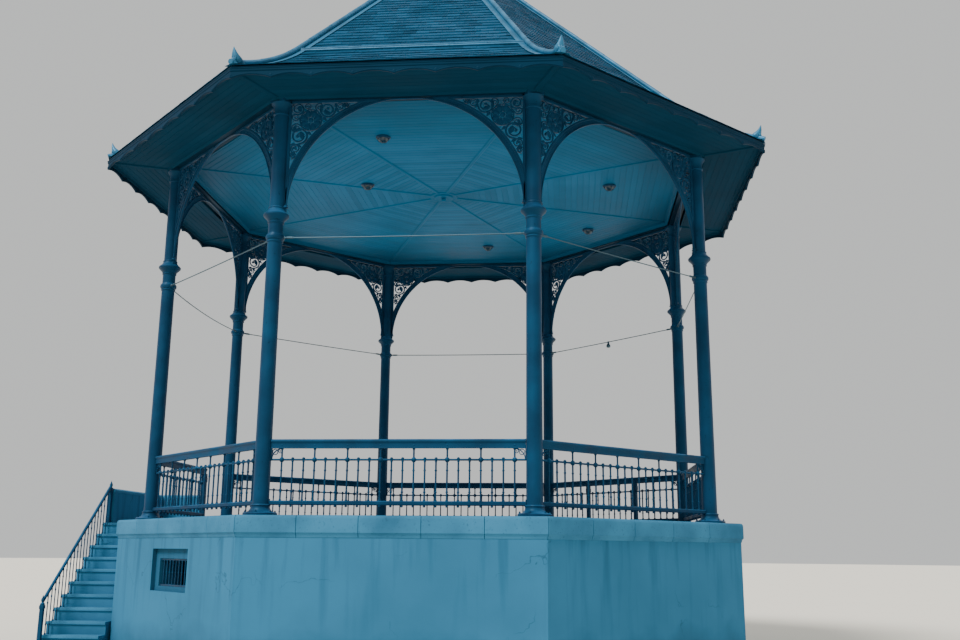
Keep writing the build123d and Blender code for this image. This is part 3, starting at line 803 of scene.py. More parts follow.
def column_profile(sizes):
    """Radius and height above the floor of a turned column, from its foot to the beam."""
    low, high, foot = sizes.shaft_foot, sizes.shaft_head, sizes.foot
    ring, collar, top = sizes.lower_ring, sizes.collar, BEAM_BOTTOM - FLOOR
    points = [(0.0, 0.0)] + mm([(0, 0), (0, 30), (-6, 38), (-18, 44)], foot)
    for angle in fan(0, pi / 2, 8):
        bell = (foot - 0.030 - low - 0.014) * sin(angle)
        points.append((foot - 0.030 - bell, 0.045 + 0.075 * (1 - cos(angle))))
    points += mm([(20, 122), (22, 130), (18, 138), (4, 142), (0, 156)], low)
    shaft = ring - 0.075
    points += [(low + (high - low) * level / shaft, level) for level in (0.8, 1.6, 2.4)]
    points += mm([(0, 0), (10, 10), (12, 20), (4, 30)], high, shaft)
    for angle in fan(-pi / 2, pi / 2, 6):
        points.append((high + 0.008 + 0.020 * cos(angle), ring + 0.036 * sin(angle)))
    points += mm([(4, 48), (0, 60)], high, ring)
    points += mm([(0, -118), (10, -108), (12, -98), (6, -90), (20, -64), (48, -36)], high, collar)
    points += mm([(162, -20), (169, -8), (169, 8), (162, 20)], 0, collar)
    points += mm([(44, 36), (20, 62), (8, 90), (14, 98), (12, 110), (0, 118)], high, collar)
    points += mm([(0, -230), (12, -222), (12, -204), (0, -196), (2, -150), (16, -96)], high, top)
    return points + mm([(44, -60), (46, -50)], high, top) + mm([(0, -50)], 0, top)


class BANDSTAND_OT_columns(bpy.types.Operator):
    """Eight cast columns with a bolted bell foot, a lower ring, a collar and a small capital"""

    bl_idname = "bandstand.columns"
    bl_label = "Columns"

    def execute(self, context):
        sizes = context.scene.bandstand_iron
        bm = bmesh.new()
        turn(bm, column_profile(sizes), 48)
        top = BEAM_BOTTOM - FLOOR
        stack(bm, 0, 0, 0, [(0.118, top - 0.050, top)], 0.008, 2)
        bolts = 6
        for number in range(bolts):
            place = Matrix.Rotation(number * tau / bolts + HALF, 4, "Z") @ put((sizes.foot - 0.026, 0, 0.038))
            turn(bm, mm([(0, 22), (11, 20), (14, 14), (14, 0)]), 6, place)
            turn(bm, mm([(7, 30), (7, 18)]), 8, place)
        source = as_mesh(bm)
        for index, name in enumerate(CORNERS):
            angle = -pi / 2 + HALF + index * TURN
            place = put((sizes.circle * cos(angle), sizes.circle * sin(angle), FLOOR))
            column = placed(source, place @ Matrix.Rotation(angle, 4, "Z"))
            add_piece(column, f"cast_column_{name}", "iron", [f"column_{name}"], 28)
        bpy.data.meshes.remove(source)
        return {"FINISHED"}


# Arches


def upright(x, level, reach=0.0, angle=0.0):
    """A point in the plane of the front bay, a reach away from a place in a direction."""
    return Vector((x + reach * cos(angle), -BAY_LINE, FLOOR + (level + reach * sin(angle))))


class Arch:
    """The lines of an arch: a half ellipse from the collars to the beam, and circles that fit above it."""

    def __init__(self, sizes):
        self.sizes = sizes
        self.side = -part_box("arch_front")[0].x
        self.top = BEAM_BOTTOM - FLOOR
        self.springing = self.top - sizes.rise
        self.crown = sizes.span * sqrt(1 - (1 - sizes.rim / sizes.rise) ** 2)

    def point(self, angle, out=0.0):
        """A point on the ellipse, or a distance outside it, with the outward direction."""
        span, rise = self.sizes.span, self.sizes.rise
        across, up = cos(angle) / span, sin(angle) / rise
        size = hypot(across, up)
        normal = (across / size, up / size)
        x = span * cos(angle) + normal[0] * out
        return x, self.springing + rise * sin(angle) + normal[1] * out, normal

    def within(self, angle, out, margin):
        """A point outside the ellipse, kept a margin inside the column and the beam."""
        x, z, normal = self.point(angle, out)
        return min(x, self.side - margin), min(z, self.top - margin)

    def circle(self, angle, radius=None):
        """Centre and radius of a circle that touches the rim and the nearer of the top and side bars."""
        rim, out = self.sizes.rim, self.sizes.web + self.sizes.rim
        if radius is None:
            x, z, normal = self.point(angle, out)
            above = (self.top - rim - z) / (1 + normal[1])
            beside = (self.side - rim - x) / (1 + normal[0])
            radius = min(above, beside)
        x, z, normal = self.point(angle, out + radius)
        return x, z, radius

    def chain(self, first, angle, step, count):
        """Circles that shrink away from the first one, each beside the last, the smallest first."""
        circles = [first]
        while len(circles) <= count:
            angle += step
            x, z, radius = self.circle(angle)
            if hypot(x - circles[-1][0], z - circles[-1][1]) >= radius + circles[-1][2]:
                circles.append((x, z, radius))
        return circles[:0:-1]


def leaf(bm, place, long, wide, depth=0.011):
    """A flat leaf along Z from a place, fuller towards its tip."""
    profile = mm([(0, 0), (100, 40), (280, 250), (470, 520), (500, 680), (400, 840), (180, 960), (0, 1000)])
    turn(bm, profile, 8, place @ Matrix.Diagonal((wide, depth * 2, long, 1)))


def flat_leaf(bm, x, z, angle, long, wide, depth=0.011, out=0.0):
    """A leaf in the plane of the front bay, in a direction, from a distance out."""
    leaf(bm, put(upright(x, z, out, angle)) @ Matrix.Rotation(pi / 2 - angle, 4, "Y"), long, wide, depth)


def tendril(bm, circles, hand, turns=1.7, depth=0.024):
    """Flat bars that run from circle to circle, pass them on alternate sides and wind in to a ball each."""
    straight, wind, thinning, steps = 0.3, 0.74, 0.3, int(18 * turns)
    for (x0, z0, radius0), (x, z, radius) in zip(circles, circles[1:]):
        width = max(0.013, min(0.025, radius * 0.23))
        reach0, reach1 = max(0.0, radius0 - width / 2), radius - width / 2
        across = atan2(z0 - z, x0 - x)
        open_angle = acos(min(1.0, (reach0 + reach1) / hypot(x0 - x, z0 - z)))
        begin = across + hand * open_angle
        points = [upright(x0, z0, reach0, begin + pi)]
        sizes = [1.0 - thinning]
        for step in range(steps + 1):
            share = step / steps
            wound = max(0.0, share - straight) / (1 - straight)
            reach = reach1 * (1 - wind * wound**0.9)
            points.append(upright(x, z, reach, begin + hand * share * turns * tau))
            sizes.append(1.0 - thinning * wound)
        rod(bm, rounded_bar(width, depth, width / 4), points, BACK, sizes)
        eye = put(points[-1], (1, 0.8, 1))
        bmesh.ops.create_icosphere(bm, subdivisions=2, radius=max(0.011, radius * 0.2), matrix=eye)
        if radius > 0.06:
            for number in range(5):
                turned = begin + hand * (0.9 + number * 0.42)
                flat_leaf(bm, x, z, turned, radius * 0.66, radius * 0.32, 0.008)
        hand = -hand


def rosette(bm, x, z, radius):
    """A ring with eight leaves and eight smaller ones between them, round a raised boss."""
    for share, width, depth in ((1.0, 0.016, 0.028), (0.36, 0.008, 0.020)):
        points = [upright(x, z, radius * share - width / 2, angle) for angle in fan(0, tau, 40)]
        rod(bm, rounded_bar(width, depth, 0.003), points)
    leaves = 8
    for number in range(leaves):
        angle = (number + 0.5) / leaves * tau
        flat_leaf(bm, x, z, angle, radius * 0.70, radius * 0.50, out=radius * 0.26)
        flat_leaf(bm, x, z, angle + pi / leaves, radius * 0.60, radius * 0.14, 0.007, radius * 0.34)
    boss = put(upright(x, z), (radius * 0.24, 0.018, radius * 0.24))
    bmesh.ops.create_uvsphere(bm, u_segments=16, v_segments=8, radius=1, matrix=boss)


class BANDSTAND_OT_arches(bpy.types.Operator):
    """Eight arches of cast scrollwork between the columns, with a beaded rim"""

    bl_idname = "bandstand.arches"
    bl_label = "Arches"

    def execute(self, context):
        arch = Arch(context.scene.bandstand_iron)
        bm = bmesh.new()
        self.bars(bm, arch)
        self.scrolls(bm, arch)
        half = as_mesh(bm)
        whole = bmesh.new()
        for hand in (1, -1):
            stamp(whole, half, Matrix.Diagonal((hand, 1, 1, 1)))
        source = as_mesh(whole)
        for index, name in enumerate(SIDES):
            copy = placed(source, Matrix.Rotation(index * TURN, 4, "Z"))
            add_piece(copy, f"scroll_arch_{name}", "iron", [f"arch_{name}"])
        bpy.data.meshes.remove(source)
        bpy.data.meshes.remove(half)
        return {"FINISHED"}

    def bars(self, bm, arch):
        """The rim, the web, the side bar and the top bar of an arch's right half, with its foot."""
        rim, depth, web = arch.sizes.rim, arch.sizes.plate, arch.sizes.web
        line = [arch.within(angle, web + rim / 2, rim / 2) for angle in fan(0, pi / 2, 36)]
        line = [upright(x, z) for x, z in line if z < arch.top - rim / 2]
        rod(bm, rounded_bar(rim * 0.72, depth, 0.005), line)
        self.band(bm, arch)
        side, level = arch.side - rim / 2, arch.top - rim / 2
        upper = [upright(arch.crown, level), upright(arch.side, level)]
        for path in ([upright(side, arch.springing + 0.07), upright(side, arch.top)], upper):
            rod(bm, rounded_bar(rim, depth, 0.005), path)
        foot = mm([(0, 0), (34, 0), (38, 10), (30, 18), (24, 30), (32, 40), (0, 46)])
        turn(bm, foot, 16, put(upright(side, arch.springing + 0.055)))

    def band(self, bm, arch):
        """The arch's web between the rim and its beaded lower edge, with bosses along it."""
        web, thin = arch.sizes.web, 0.010
        turns = fan(0, pi / 2, 48)
        outer = [arch.within(angle, web + 0.010, 0.004) for angle in turns]
        inner = [arch.within(angle, 0.0, 0.012) for angle in turns]
        places = []
        for (x0, z0), (x1, z1) in zip(inner, outer):
            across = Vector((x1 - x0, 0, z1 - z0))
            side = across.normalized()
            place = Matrix((side, BACK, side.cross(BACK))).transposed().to_4x4()
            place.translation = upright((x0 + x1) / 2, (z0 + z1) / 2)
            places.append(place @ Matrix.Diagonal((across.length, 1, 1, 1)))
        sweep(bm, [(-0.5, -thin / 2), (0.5, -thin / 2), (0.5, thin / 2), (-0.5, thin / 2)], places)
        rod(bm, oval(0.011, 0.017, 10), [upright(x, z) for x, z in inner])
        for angle in turns[12:42:2]:
            x, z, normal = arch.point(angle, web / 2 + 0.003)
            place = put(upright(x, z), [0.013] * 3)
            bmesh.ops.create_icosphere(bm, subdivisions=2, radius=1, matrix=place)

    def scrolls(self, bm, arch):
        """A rosette at the haunch, and scrolls that shrink towards the crown and the springing."""
        side, top, haunch = arch.side - arch.sizes.rim, arch.top - arch.sizes.rim, radians(45.0)
        flower = x, z, radius = arch.circle(haunch, 0.158)
        rosette(bm, *flower)
        across, up = side - x, top - z
        corner = (hypot(across, up) - radius) / (1 + sqrt(2))
        tendril(bm, [(side, top - 2 * corner, 0.0), (side - corner, top - corner, corner)], -1, 1.5)
        upper = arch.chain(flower, haunch, radians(0.1), 4)
        lower = arch.chain(flower, haunch, radians(-0.1), 4)
        tendril(bm, upper, 1)
        tendril(bm, lower, -1)
        for shift, hand in ((-0.112, 1), (0.052, -1)):
            small = (up**2 + shift**2 - radius**2) / (2 * (up + radius))
            tendril(bm, [flower, (x + shift, top - small, small)], hand, 1.4)
        for shift, hand in ((0.052, 1), (-0.112, -1)):
            small = (across**2 + shift**2 - radius**2) / (2 * (across + radius))
            tendril(bm, [flower, (side - small, z + shift, small)], hand, 1.4)
        for circles in (upper, lower):
            for near, far in zip(circles[1:], circles[2:] + [flower]):
                x, z = self.between(near, far)
                if circles is upper:
                    flat_leaf(bm, x, top, -pi / 2, (top - z) * 0.9, 0.046)
                else:
                    flat_leaf(bm, side, z, pi, (side - x) * 0.9, 0.046)
                self.rim_leaf(bm, arch, x, z)

    def rim_leaf(self, bm, arch, x, z):
        """A leaf on the rim, between two circles."""
        angle = atan2((z - arch.springing) / arch.sizes.rise, x / arch.sizes.span)
        x, z, normal = arch.point(angle, arch.sizes.web + arch.sizes.rim)
        flat_leaf(bm, x, z, atan2(normal[1], normal[0]), 0.076, 0.046)

    def between(self, near, far):
        """The place between two circles."""
        gap = hypot(far[0] - near[0], far[1] - near[1])
        share = (near[2] + (gap - near[2] - far[2]) / 2) / gap
        return near[0] + (far[0] - near[0]) * share, near[1] + (far[1] - near[1]) * share


# Beam, ceiling, soffit and eaves


def lay_boards(inner, outer, level, board, thickness, seed):
    """Tongued boards on all sides, parallel to each side, with open V joints underneath."""
    bm = bmesh.new()
    reach, near = outer * tan(HALF), inner * tan(HALF)
    ends = [(near, -inner), (-near, -inner)] if inner else [(0, 0)]
    bm.faces.new([bm.verts.new((x, y, level)) for x, y in [(-reach, -outer), (reach, -outer)] + ends])
    for number in range(1, int((outer - inner) / board) + 1):
        middle = (0, -(outer - number * board), 0)
        bmesh.ops.bisect_plane(bm, geom=everything(bm), plane_co=middle, plane_no=(0, 1, 0))
    bmesh.ops.recalc_face_normals(bm, faces=bm.faces[:])
    for face in bm.faces:
        face.normal_update()
        if face.normal.z > 0:
            face.normal_flip()
    planks, joint = bm.faces[:], 0.004
    bmesh.ops.inset_individual(bm, faces=planks, thickness=joint, depth=joint, use_even_offset=True)
    dice = random.Random(seed)
    tone = bm.verts.layers.float.new("tone")
    along = bm.loops.layers.uv.new("UVMap")
    for plank in planks:
        shade, shift = dice.random(), dice.uniform(0, 9)
        for loop in plank.loops:
            loop.vert[tone] = shade
            loop[along].uv = (loop.vert.co.x + shift, loop.vert.co.y)
    back = bmesh.ops.extrude_face_region(bm, geom=bm.faces[:])["geom"]
    for vert in only(BMVert, back):
        vert.co.z = level + thickness
    around(bm)
    return bm


def corner_strip(bm, outline, near, far, level):
    """A strip along the line between two sides, from one distance from the axis to another."""
    ends = [Vector((0, -near, level)), Vector((0, -far, level))]
    swing(bm, HALF, rod(bm, outline, ends, UP))


class BANDSTAND_OT_beam(bpy.types.Operator):
    """Moulded beam on the columns' heads"""

    bl_idname = "bandstand.beam"
    bl_label = "Beam"

    def execute(self, context):
        outside, inside = BEAM_OUTSIDE, CEILING_EDGE
        steps = ((30, 0), (30, 58), (22, 66), (20, 128), (10, 138), (4, 158), (0, 166))
        profile = mm([(-inset, rise) for inset, rise in steps], outside, BEAM_BOTTOM)
        profile += [(outside, BEAM_TOP), (inside, BEAM_TOP)] + mm(steps[::-1], inside, BEAM_BOTTOM)
        bm = moulding_ring(profile, 1)
        even_tone(bm, 0.5)
        add_piece(bm, "moulded_beam", "beam", ["ring_beam"], 20)
        return {"FINISHED"}


class BANDSTAND_OT_ceiling(bpy.types.Operator):
    """Tongued boards with cover strips and a turned centre, and the lamps on them"""

    bl_idname = "bandstand.ceiling"
    bl_label = "Ceiling"

    def execute(self, context):
        bm = lay_boards(0, CEILING_EDGE, CEILING, context.scene.bandstand_roof.board, 0.02, 11)
        add_piece(bm, "ceiling_boards", "ceiling", ["ceiling"], 20, False)
        self.strips()
        self.lamps()
        return {"FINISHED"}

    def strips(self):
        """Cover strips over the boards' ends, a cove at the beam and a turned centre."""
        bm = bmesh.new()
        edge = CEILING_EDGE
        strip = mm([(-35, 0), (35, 0), (35, -8), (22, -16), (-22, -16), (-35, -8)])
        corner_strip(bm, strip, 0.0, edge / cos(HALF) - 0.02, CEILING)
        pairs = [(0, 0), (0, -60), (-10, -60), (-16, -40), (-34, -18), (-56, -10), (-58, 0)]
        bar(bm, mm(pairs, edge, CEILING), -edge * tan(HALF), edge * tan(HALF))
        around(bm)
        centre = mm([(0, -85), (30, -80), (45, -60), (34, -40), (70, -30), (150, -34), (165, -26)])
        centre += mm([(170, -14), (230, -18), (245, -10), (250, 0)])
        turn(bm, centre, 40, put((0, 0, CEILING)))
        even_tone(bm, 0.35)
        add_piece(bm, "ceiling_strips", "ceiling", (), 30)

    def lamps(self):
        """Bulkhead lamps where the boards carry them."""
        bm = bmesh.new()
        body = mm([(0, 0), (105, 0), (110, -6), (110, -20), (100, -30), (86, -34), (84, -26), (0, -26)])
        glass = mm([(0, -90), (30, -87), (56, -74), (74, -52), (82, -30), (82, -27)])
        for x, y in ((-1.22, -0.69), (2.88, -0.37), (-0.59, -2.69), (0.54, 3.02), (2.56, 2.03)):
            place = put((x, y, CEILING))
            turn(bm, body, 28, place)
            known = set(bm.faces)
            turn(bm, glass, 28, place)
            for face in set(bm.faces) - known:
                face.material_index = 1
            for number in range(3):
                tilt = place @ Matrix.Rotation(number * pi / 3, 4, "Z")
                arc = [tilt @ Vector((0.092 * cos(a), 0, -0.028 - 0.066 * sin(a))) for a in fan(0, pi, 12)]
                rod(bm, rounded_bar(0.005, 0.005, 0.001), arc, (tilt.to_3x3() @ BACK).normalized())
        add_piece(bm, "ceiling_lamps", "iron glass", (), 40)


class BANDSTAND_OT_soffit(bpy.types.Operator):
    """Dark boards under the eaves with cover strips at the corners"""

    bl_idname = "bandstand.soffit"
    bl_label = "Soffit"

    def execute(self, context):
        level = SOFFIT_BOTTOM
        board = context.scene.bandstand_roof.board
        bm = lay_boards(BEAM_OUTSIDE, SOFFIT_EDGE, level, board, SOFFIT_TOP - level, 23)
        add_piece(bm, "soffit_boards", "soffit", ["soffit"], 20, False)
        bm = bmesh.new()
        strip = mm([(-45, 0), (45, 0), (45, -10), (30, -20), (-30, -20), (-45, -10)])
        near, far = (BEAM_OUTSIDE + 0.02) / cos(HALF), (SOFFIT_EDGE - 0.02) / cos(HALF)
        corner_strip(bm, strip, near, far, level)
        for edge, sign in ((BEAM_OUTSIDE, 1), (SOFFIT_EDGE, -1)):
            trim = mm([(0, 0), (0, -35), (sign * 12, -32), (sign * 30, -12), (sign * 34, 0)], edge, level)
            reach = (edge + 0.04) * tan(HALF)
            bar(bm, trim, -reach, reach)
        around(bm)
        even_tone(bm, 0.3)
        add_piece(bm, "soffit_strips", "soffit", (), 30)
        return {"FINISHED"}


class BANDSTAND_OT_valance(bpy.types.Operator):
    """Eaves board with a scalloped lower edge, a bead above and a small boss on every point"""

    bl_idname = "bandstand.valance"
    bl_label = "Valance"

    def execute(self, context):
        scallops, depth, face = context.scene.bandstand_roof.scallops, 0.05, EAVE - 0.006
        side = 2 * EAVE * tan(HALF)
        pitch = side / scallops
        radius = (pitch * pitch / 4 + depth * depth) / (2 * depth)
        widest = asin(pitch / 2 / radius)
        turns = fan(-widest, widest, 12)
        bm = bmesh.new()
        for number in range(scallops):
            middle = -side / 2 + (number + 0.5) * pitch
            edge = [(middle + radius * sin(t), FASCIA_BOTTOM + depth - radius * (1 - cos(t))) for t in turns]
            outline = edge + [(middle + pitch / 2, FASCIA_TOP), (middle - pitch / 2, FASCIA_TOP)]
            prism(bm, [(x, -face, z) for x, z in outline], (0, face - SOFFIT_EDGE, 0))
            rod(bm, rounded_bar(0.018, 0.016, 0.005), [Vector((x, 0.008 - EAVE, z + 0.013)) for x, z in edge])
            tip = put((middle - pitch / 2, 0.008 - EAVE, FASCIA_BOTTOM + 0.034), (0.024, 0.010, 0.024))
            bmesh.ops.create_uvsphere(bm, u_segments=12, v_segments=8, radius=1, matrix=tip)
        bead = mm([(-8, -46), (1, -40), (4, -28), (2, -16), (10, -8), (10, 0), (-8, 0)], EAVE, FASCIA_TOP)
        bar(bm, bead, -side / 2 - 0.01, side / 2 + 0.01)
        mitre(bm)
        around(bm)
        even_tone(bm, 0.6)
        add_piece(bm, "scalloped_valance", "beam", ["fascia_valance"], 30)
        return {"FINISHED"}


# Roof


class RoofLine:
    """The roof's outside through the middle of a side: a straight upper slope and a flared foot."""

    def __init__(self, sizes):
        self.slope = sizes.pitch / cos(HALF)
        size = hypot(1, self.slope)
        self.normal = Vector((self.slope / size, 1 / size))
        self.bend = Vector((sizes.break_corner * cos(HALF), FLOOR + sizes.break_level))
        chord = Vector((EAVE, FLOOR + sizes.eave_level)) - self.bend
        self.radius = chord.length_squared / (2 * chord.dot(self.normal))
        self.centre = self.bend + self.normal * self.radius

    def level(self, distance):
        """Height of the roof at a distance from the middle axis."""
        if distance <= self.bend.x:
            return self.bend.y + (self.bend.x - distance) * self.slope
        return self.centre.y - sqrt(self.radius**2 - (distance - self.centre.x) ** 2)

    def normal_at(self, distance):
        """Direction straight out of the roof, as distance and height."""
        if distance <= self.bend.x:
            return self.normal.copy()
        return (self.centre - Vector((distance, self.level(distance)))).normalized()

    def at(self, distance, depth=0.0):
        """A point at a depth below the roof's outside, as distance and height."""
        return Vector((distance, self.level(distance))) - self.normal_at(distance) * depth

    def stations(self, step, inner):
        """Distances from the middle that lie a step apart along the roof, from the eaves up."""
        found, distance = [EAVE], EAVE
        while True:
            distance -= step * self.normal_at(distance - step / 3).y
            if distance < inner:
                return found
            found.append(distance)


class BANDSTAND_OT_roof(bpy.types.Operator):
    """Courses of small tiles on all eight sides of the bell-shaped roof"""

    bl_idname = "bandstand.roof"
    bl_label = "Roof"

    def execute(self, context):
        sizes = context.scene.bandstand_roof
        line = RoofLine(sizes)
        for index, name in enumerate(SIDES):
            bm = bmesh.new()
            dice = random.Random(100 + index)
            self.courses(bm, sizes, line, dice)
            self.single_tiles(bm, sizes, dice)
            self.boards(bm, sizes, line)
            swing(bm, index * TURN)
            add_piece(bm, f"tiled_roof_{name}", "tile beam", [f"roof_{name}"], 25)
        return {"FINISHED"}

    def courses(self, bm, sizes, line, dice):
        """A flat strip of tiles for every course, its tail on the head of the course below."""
        stations = line.stations(sizes.course, 0.16)
        lap, wide = 0.012, sizes.tile_width
        for number, (low, high) in enumerate(zip(stations, stations[1:])):
            tail, head = line.at(low, -0.001), line.at(high, 0.008)
            head += (head - tail).normalized() * lap
            count = 2 * int(tail.x * tan(HALF) / wide + 1.5)
            middle = (head + tail) / 2
            tilt = atan2(head.y - tail.y, tail.x - head.x)
            shift = wide / 2 * (number % 2) + dice.uniform(-0.02, 0.02)
            place = put((shift, -middle.x, middle.y)) @ Matrix.Rotation(tilt, 4, "X")
            place = place @ Matrix.Diagonal((count * wide / 2, (head - tail).length / 2, 1, 1))
            bmesh.ops.create_grid(bm, x_segments=count, y_segments=1, size=1, matrix=place)
        mitre(bm, fill=False)

    def single_tiles(self, bm, sizes, dice):
        """Each tile a little apart from its neighbours, with a lift, a slip and a shade of its own."""
        tone = bm.verts.layers.float.new("tone")
        rims = bmesh.ops.inset_individual(bm, faces=bm.faces[:], thickness=0.0015, depth=0)["faces"]
        bmesh.ops.delete(bm, geom=rims, context="FACES_ONLY")
        bmesh.ops.delete(bm, geom=[edge for edge in bm.edges if not edge.link_faces], context="EDGES")
        bmesh.ops.delete(bm, geom=[vert for vert in bm.verts if not vert.link_faces], context="VERTS")
        tail = 0.03
        for face in bm.faces:
            if face.normal.z < 0:
                face.normal_flip()
            shade = min(1.0, max(0.0, dice.gauss(0.6, 0.2)))
            lift = face.normal * dice.uniform(-0.003, 0.0)
            slip = dice.uniform(-0.004, 0.002) * 0.7
            lowest = min(vert.co.z for vert in face.verts)
            for vert in face.verts:
                vert[tone] = shade
                vert.co += lift
                if vert.co.z < lowest + tail:
                    vert.co += Vector((0, slip, slip))
        bmesh.ops.solidify(bm, geom=bm.faces[:], thickness=sizes.tile)

    def boards(self, bm, sizes, line):
        """The boards that carry the tiles."""
        bend, underside = line.bend.x, 0.05
        distances = [0.14, bend] + [bend + (EAVE - bend) * step / 10 for step in range(1, 11)]
        top = [line.at(distance, sizes.bed) for distance in distances]
        bottom = [line.at(distance, underside) for distance in distances[::-1]]
        other = bmesh.new()
        bar(other, [(p.x, p.y) for p in top + bottom], -EAVE * tan(HALF), EAVE * tan(HALF))
        mitre(other)
        known = set(bm.faces)
        stamp(bm, as_mesh(other))
        for face in set(bm.faces) - known:
            face.material_index = 1


class BANDSTAND_OT_hips(bpy.types.Operator):
    """Lead sheets with a roll over the hips and across the sides, and pointed ornaments at the eaves"""

    bl_idname = "bandstand.hips"
    bl_label = "Hips"

    def execute(self, context):
        sizes = context.scene.bandstand_roof
        line = RoofLine(sizes)
        self.hip_sheets(sizes, line)
        self.break_rolls(line)
        repaint("hip_rafters", "soffit")
        return {"FINISHED"}

    def fall(self, line, distance):
        """How steeply the two sides fall away from a hip, seen along the hip."""
        normal = line.normal_at(distance)
        slope = normal.x / normal.y
        return slope * sin(HALF) / hypot(1, slope * cos(HALF))

    def hip_sheets(self, sizes, line):
        """Sheets in even lengths along each hip, each lapped over the one below, and the ornaments."""
        bm = bmesh.new()
        steps = 6
        stations = line.stations(sizes.sheet / steps, 0.17)
        points = [Vector((distance / cos(HALF), 0, line.level(distance) + 0.012)) for distance in stations]
        roll, wing, thick = sizes.hip_roll, sizes.hip_wing, 0.018
        round_roll = [(roll * cos(angle), roll * (0.7 + sin(angle))) for angle in fan(-1.0, pi + 1.0, 12)]
        wings = [(wing, -wing), (0.0, 0.0), (-wing, -wing)]
        wings += [(x, y - thick) for x, y in wings[::-1]]
        for start in range(0, len(points) - 1, steps):
            path = points[start : start + steps + 1]
            places = places_along(path, UP, [1.05 - 0.05 * step / steps for step in range(len(path))])
            sweep(bm, round_roll, places)
            falls = [self.fall(line, distance) for distance in stations[start : start + steps + 1]]
            sweep(bm, wings, [place @ Matrix.Diagonal((1, fall, 1, 1)) for place, fall in zip(places, falls)])
        self.ornament(bm, line)
        swing(bm, HALF - pi / 2)
        around(bm)
        collar = bmesh.new()
        edges = [line.at(0.27, -0.004), line.at(0.27, -0.014), line.at(0.12, -0.014), line.at(0.12, -0.004)]
        bar(collar, edges, -0.2, 0.2)
        mitre(collar)
        around(collar)
        stamp(bm, as_mesh(collar))
        add_piece(bm, "hip_sheets", "lead", ["hip_rolls"], 40)

    def ornament(self, bm, line):
        """A horn along the hip's foot that sweeps up to a point, with three leaves on its front."""
        corner, low = EAVE / cos(HALF), line.level(EAVE)
        path = mm([(-300, 66), (-220, 74), (-160, 84), (-115, 100), (-85, 124), (-62, 156), (-46, 192)])
        path += mm([(-34, 230), (-26, 268)])
        points = [Vector((corner - 0.014 + out, 0, low + rise)) for out, rise in path]
        rod(bm, oval(0.058, 0.045, 14), points, UP, (0.50, 0.85, 1.10, 1.28, 1.20, 0.92, 0.62, 0.34, 0.06))
        for lean in (0, 18, -18):
            place = put((corner - 0.052, 0, low + 0.035)) @ Matrix.Rotation(radians(lean), 4, "X")
            leaf(bm, place @ Matrix.Rotation(radians(-8), 4, "Y"), 0.135 - abs(lean) * 0.0008, 0.046, 0.018)
        seat = mm([(0, 0), (50, 4), (58, 18), (48, 34), (22, 44), (0, 46)])
        turn(bm, seat, 16, put((corner - 0.062, 0, low + 0.012)))

    def break_rolls(self, line):
        """A roll with a flat apron across each side, where the flare starts."""
        bm = bmesh.new()
        middle, normal = line.bend.x, line.normal
        apron, roll = 0.024, 0.013
        down = Vector((normal.y, -normal.x))
        outline = [line.at(distance, -0.010) for distance in (middle + apron, middle + roll + 0.004)]
        for angle in fan(-0.2, pi + 0.2, 8):
            out = roll + roll * sin(angle) + 0.008
            outline.append(line.bend + down * roll * cos(angle) + normal * out)
        outline += [line.at(distance, -0.010) for distance in (middle - roll - 0.004, middle - apron)]
        outline += [line.at(distance, 0.004) for distance in (middle - apron, middle, middle + apron)]
        reach = (middle + apron) * tan(HALF)
        sheets, gap = 3, 0.004
        for number in range(sheets):
            start = -reach + number * 2 * reach / sheets
            bar(bm, outline, start + gap / 2, start + 2 * reach / sheets - gap / 2)
        mitre(bm)
        around(bm)
        add_piece(bm, "break_rolls", "lead", ["break_roll"], 40)


class BANDSTAND_OT_finial(bpy.types.Operator):
    """Turned finial with a ball and a spike on a lead cap"""

    bl_idname = "bandstand.finial"
    bl_label = "Finial"

    def execute(self, context):
        low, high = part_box("finial")
        tall, wide = high.z - low.z, high.x
        ball, middle = 0.145, tall * 0.42
        profile = [(0.0, 0.0)] + mm([(0, 0), (0, 30), (-12, 42), (-50, 52)], wide)
        profile += mm([(95, 85), (68, 120), (58, 150), (70, 158), (76, 170), (70, 182), (52, 190)])
        profile += mm([(48, -36), (60, -28), (66, -16), (56, -4)], 0, middle - ball)
        neck = 0.045
        round_ball = [(ball * cos(angle), middle + ball * sin(angle)) for angle in fan(-pi / 2, pi / 2, 16)]
        profile += [point for point in round_ball if point[0] > neck]
        profile += mm([(46, 0), (60, 16), (52, 34), (26, 70), (20, 150), (30, 162)], 0, middle + ball)
        profile += mm([(30, 178), (14, 194)], 0, middle + ball) + mm([(8, -60), (0, 0)], 0, tall)
        bm = bmesh.new()
        turn(bm, profile, 48, put((0, 0, low.z)))
        add_piece(bm, "turned_finial", "lead", ["finial"], 30)
        return {"FINISHED"}


# Railings


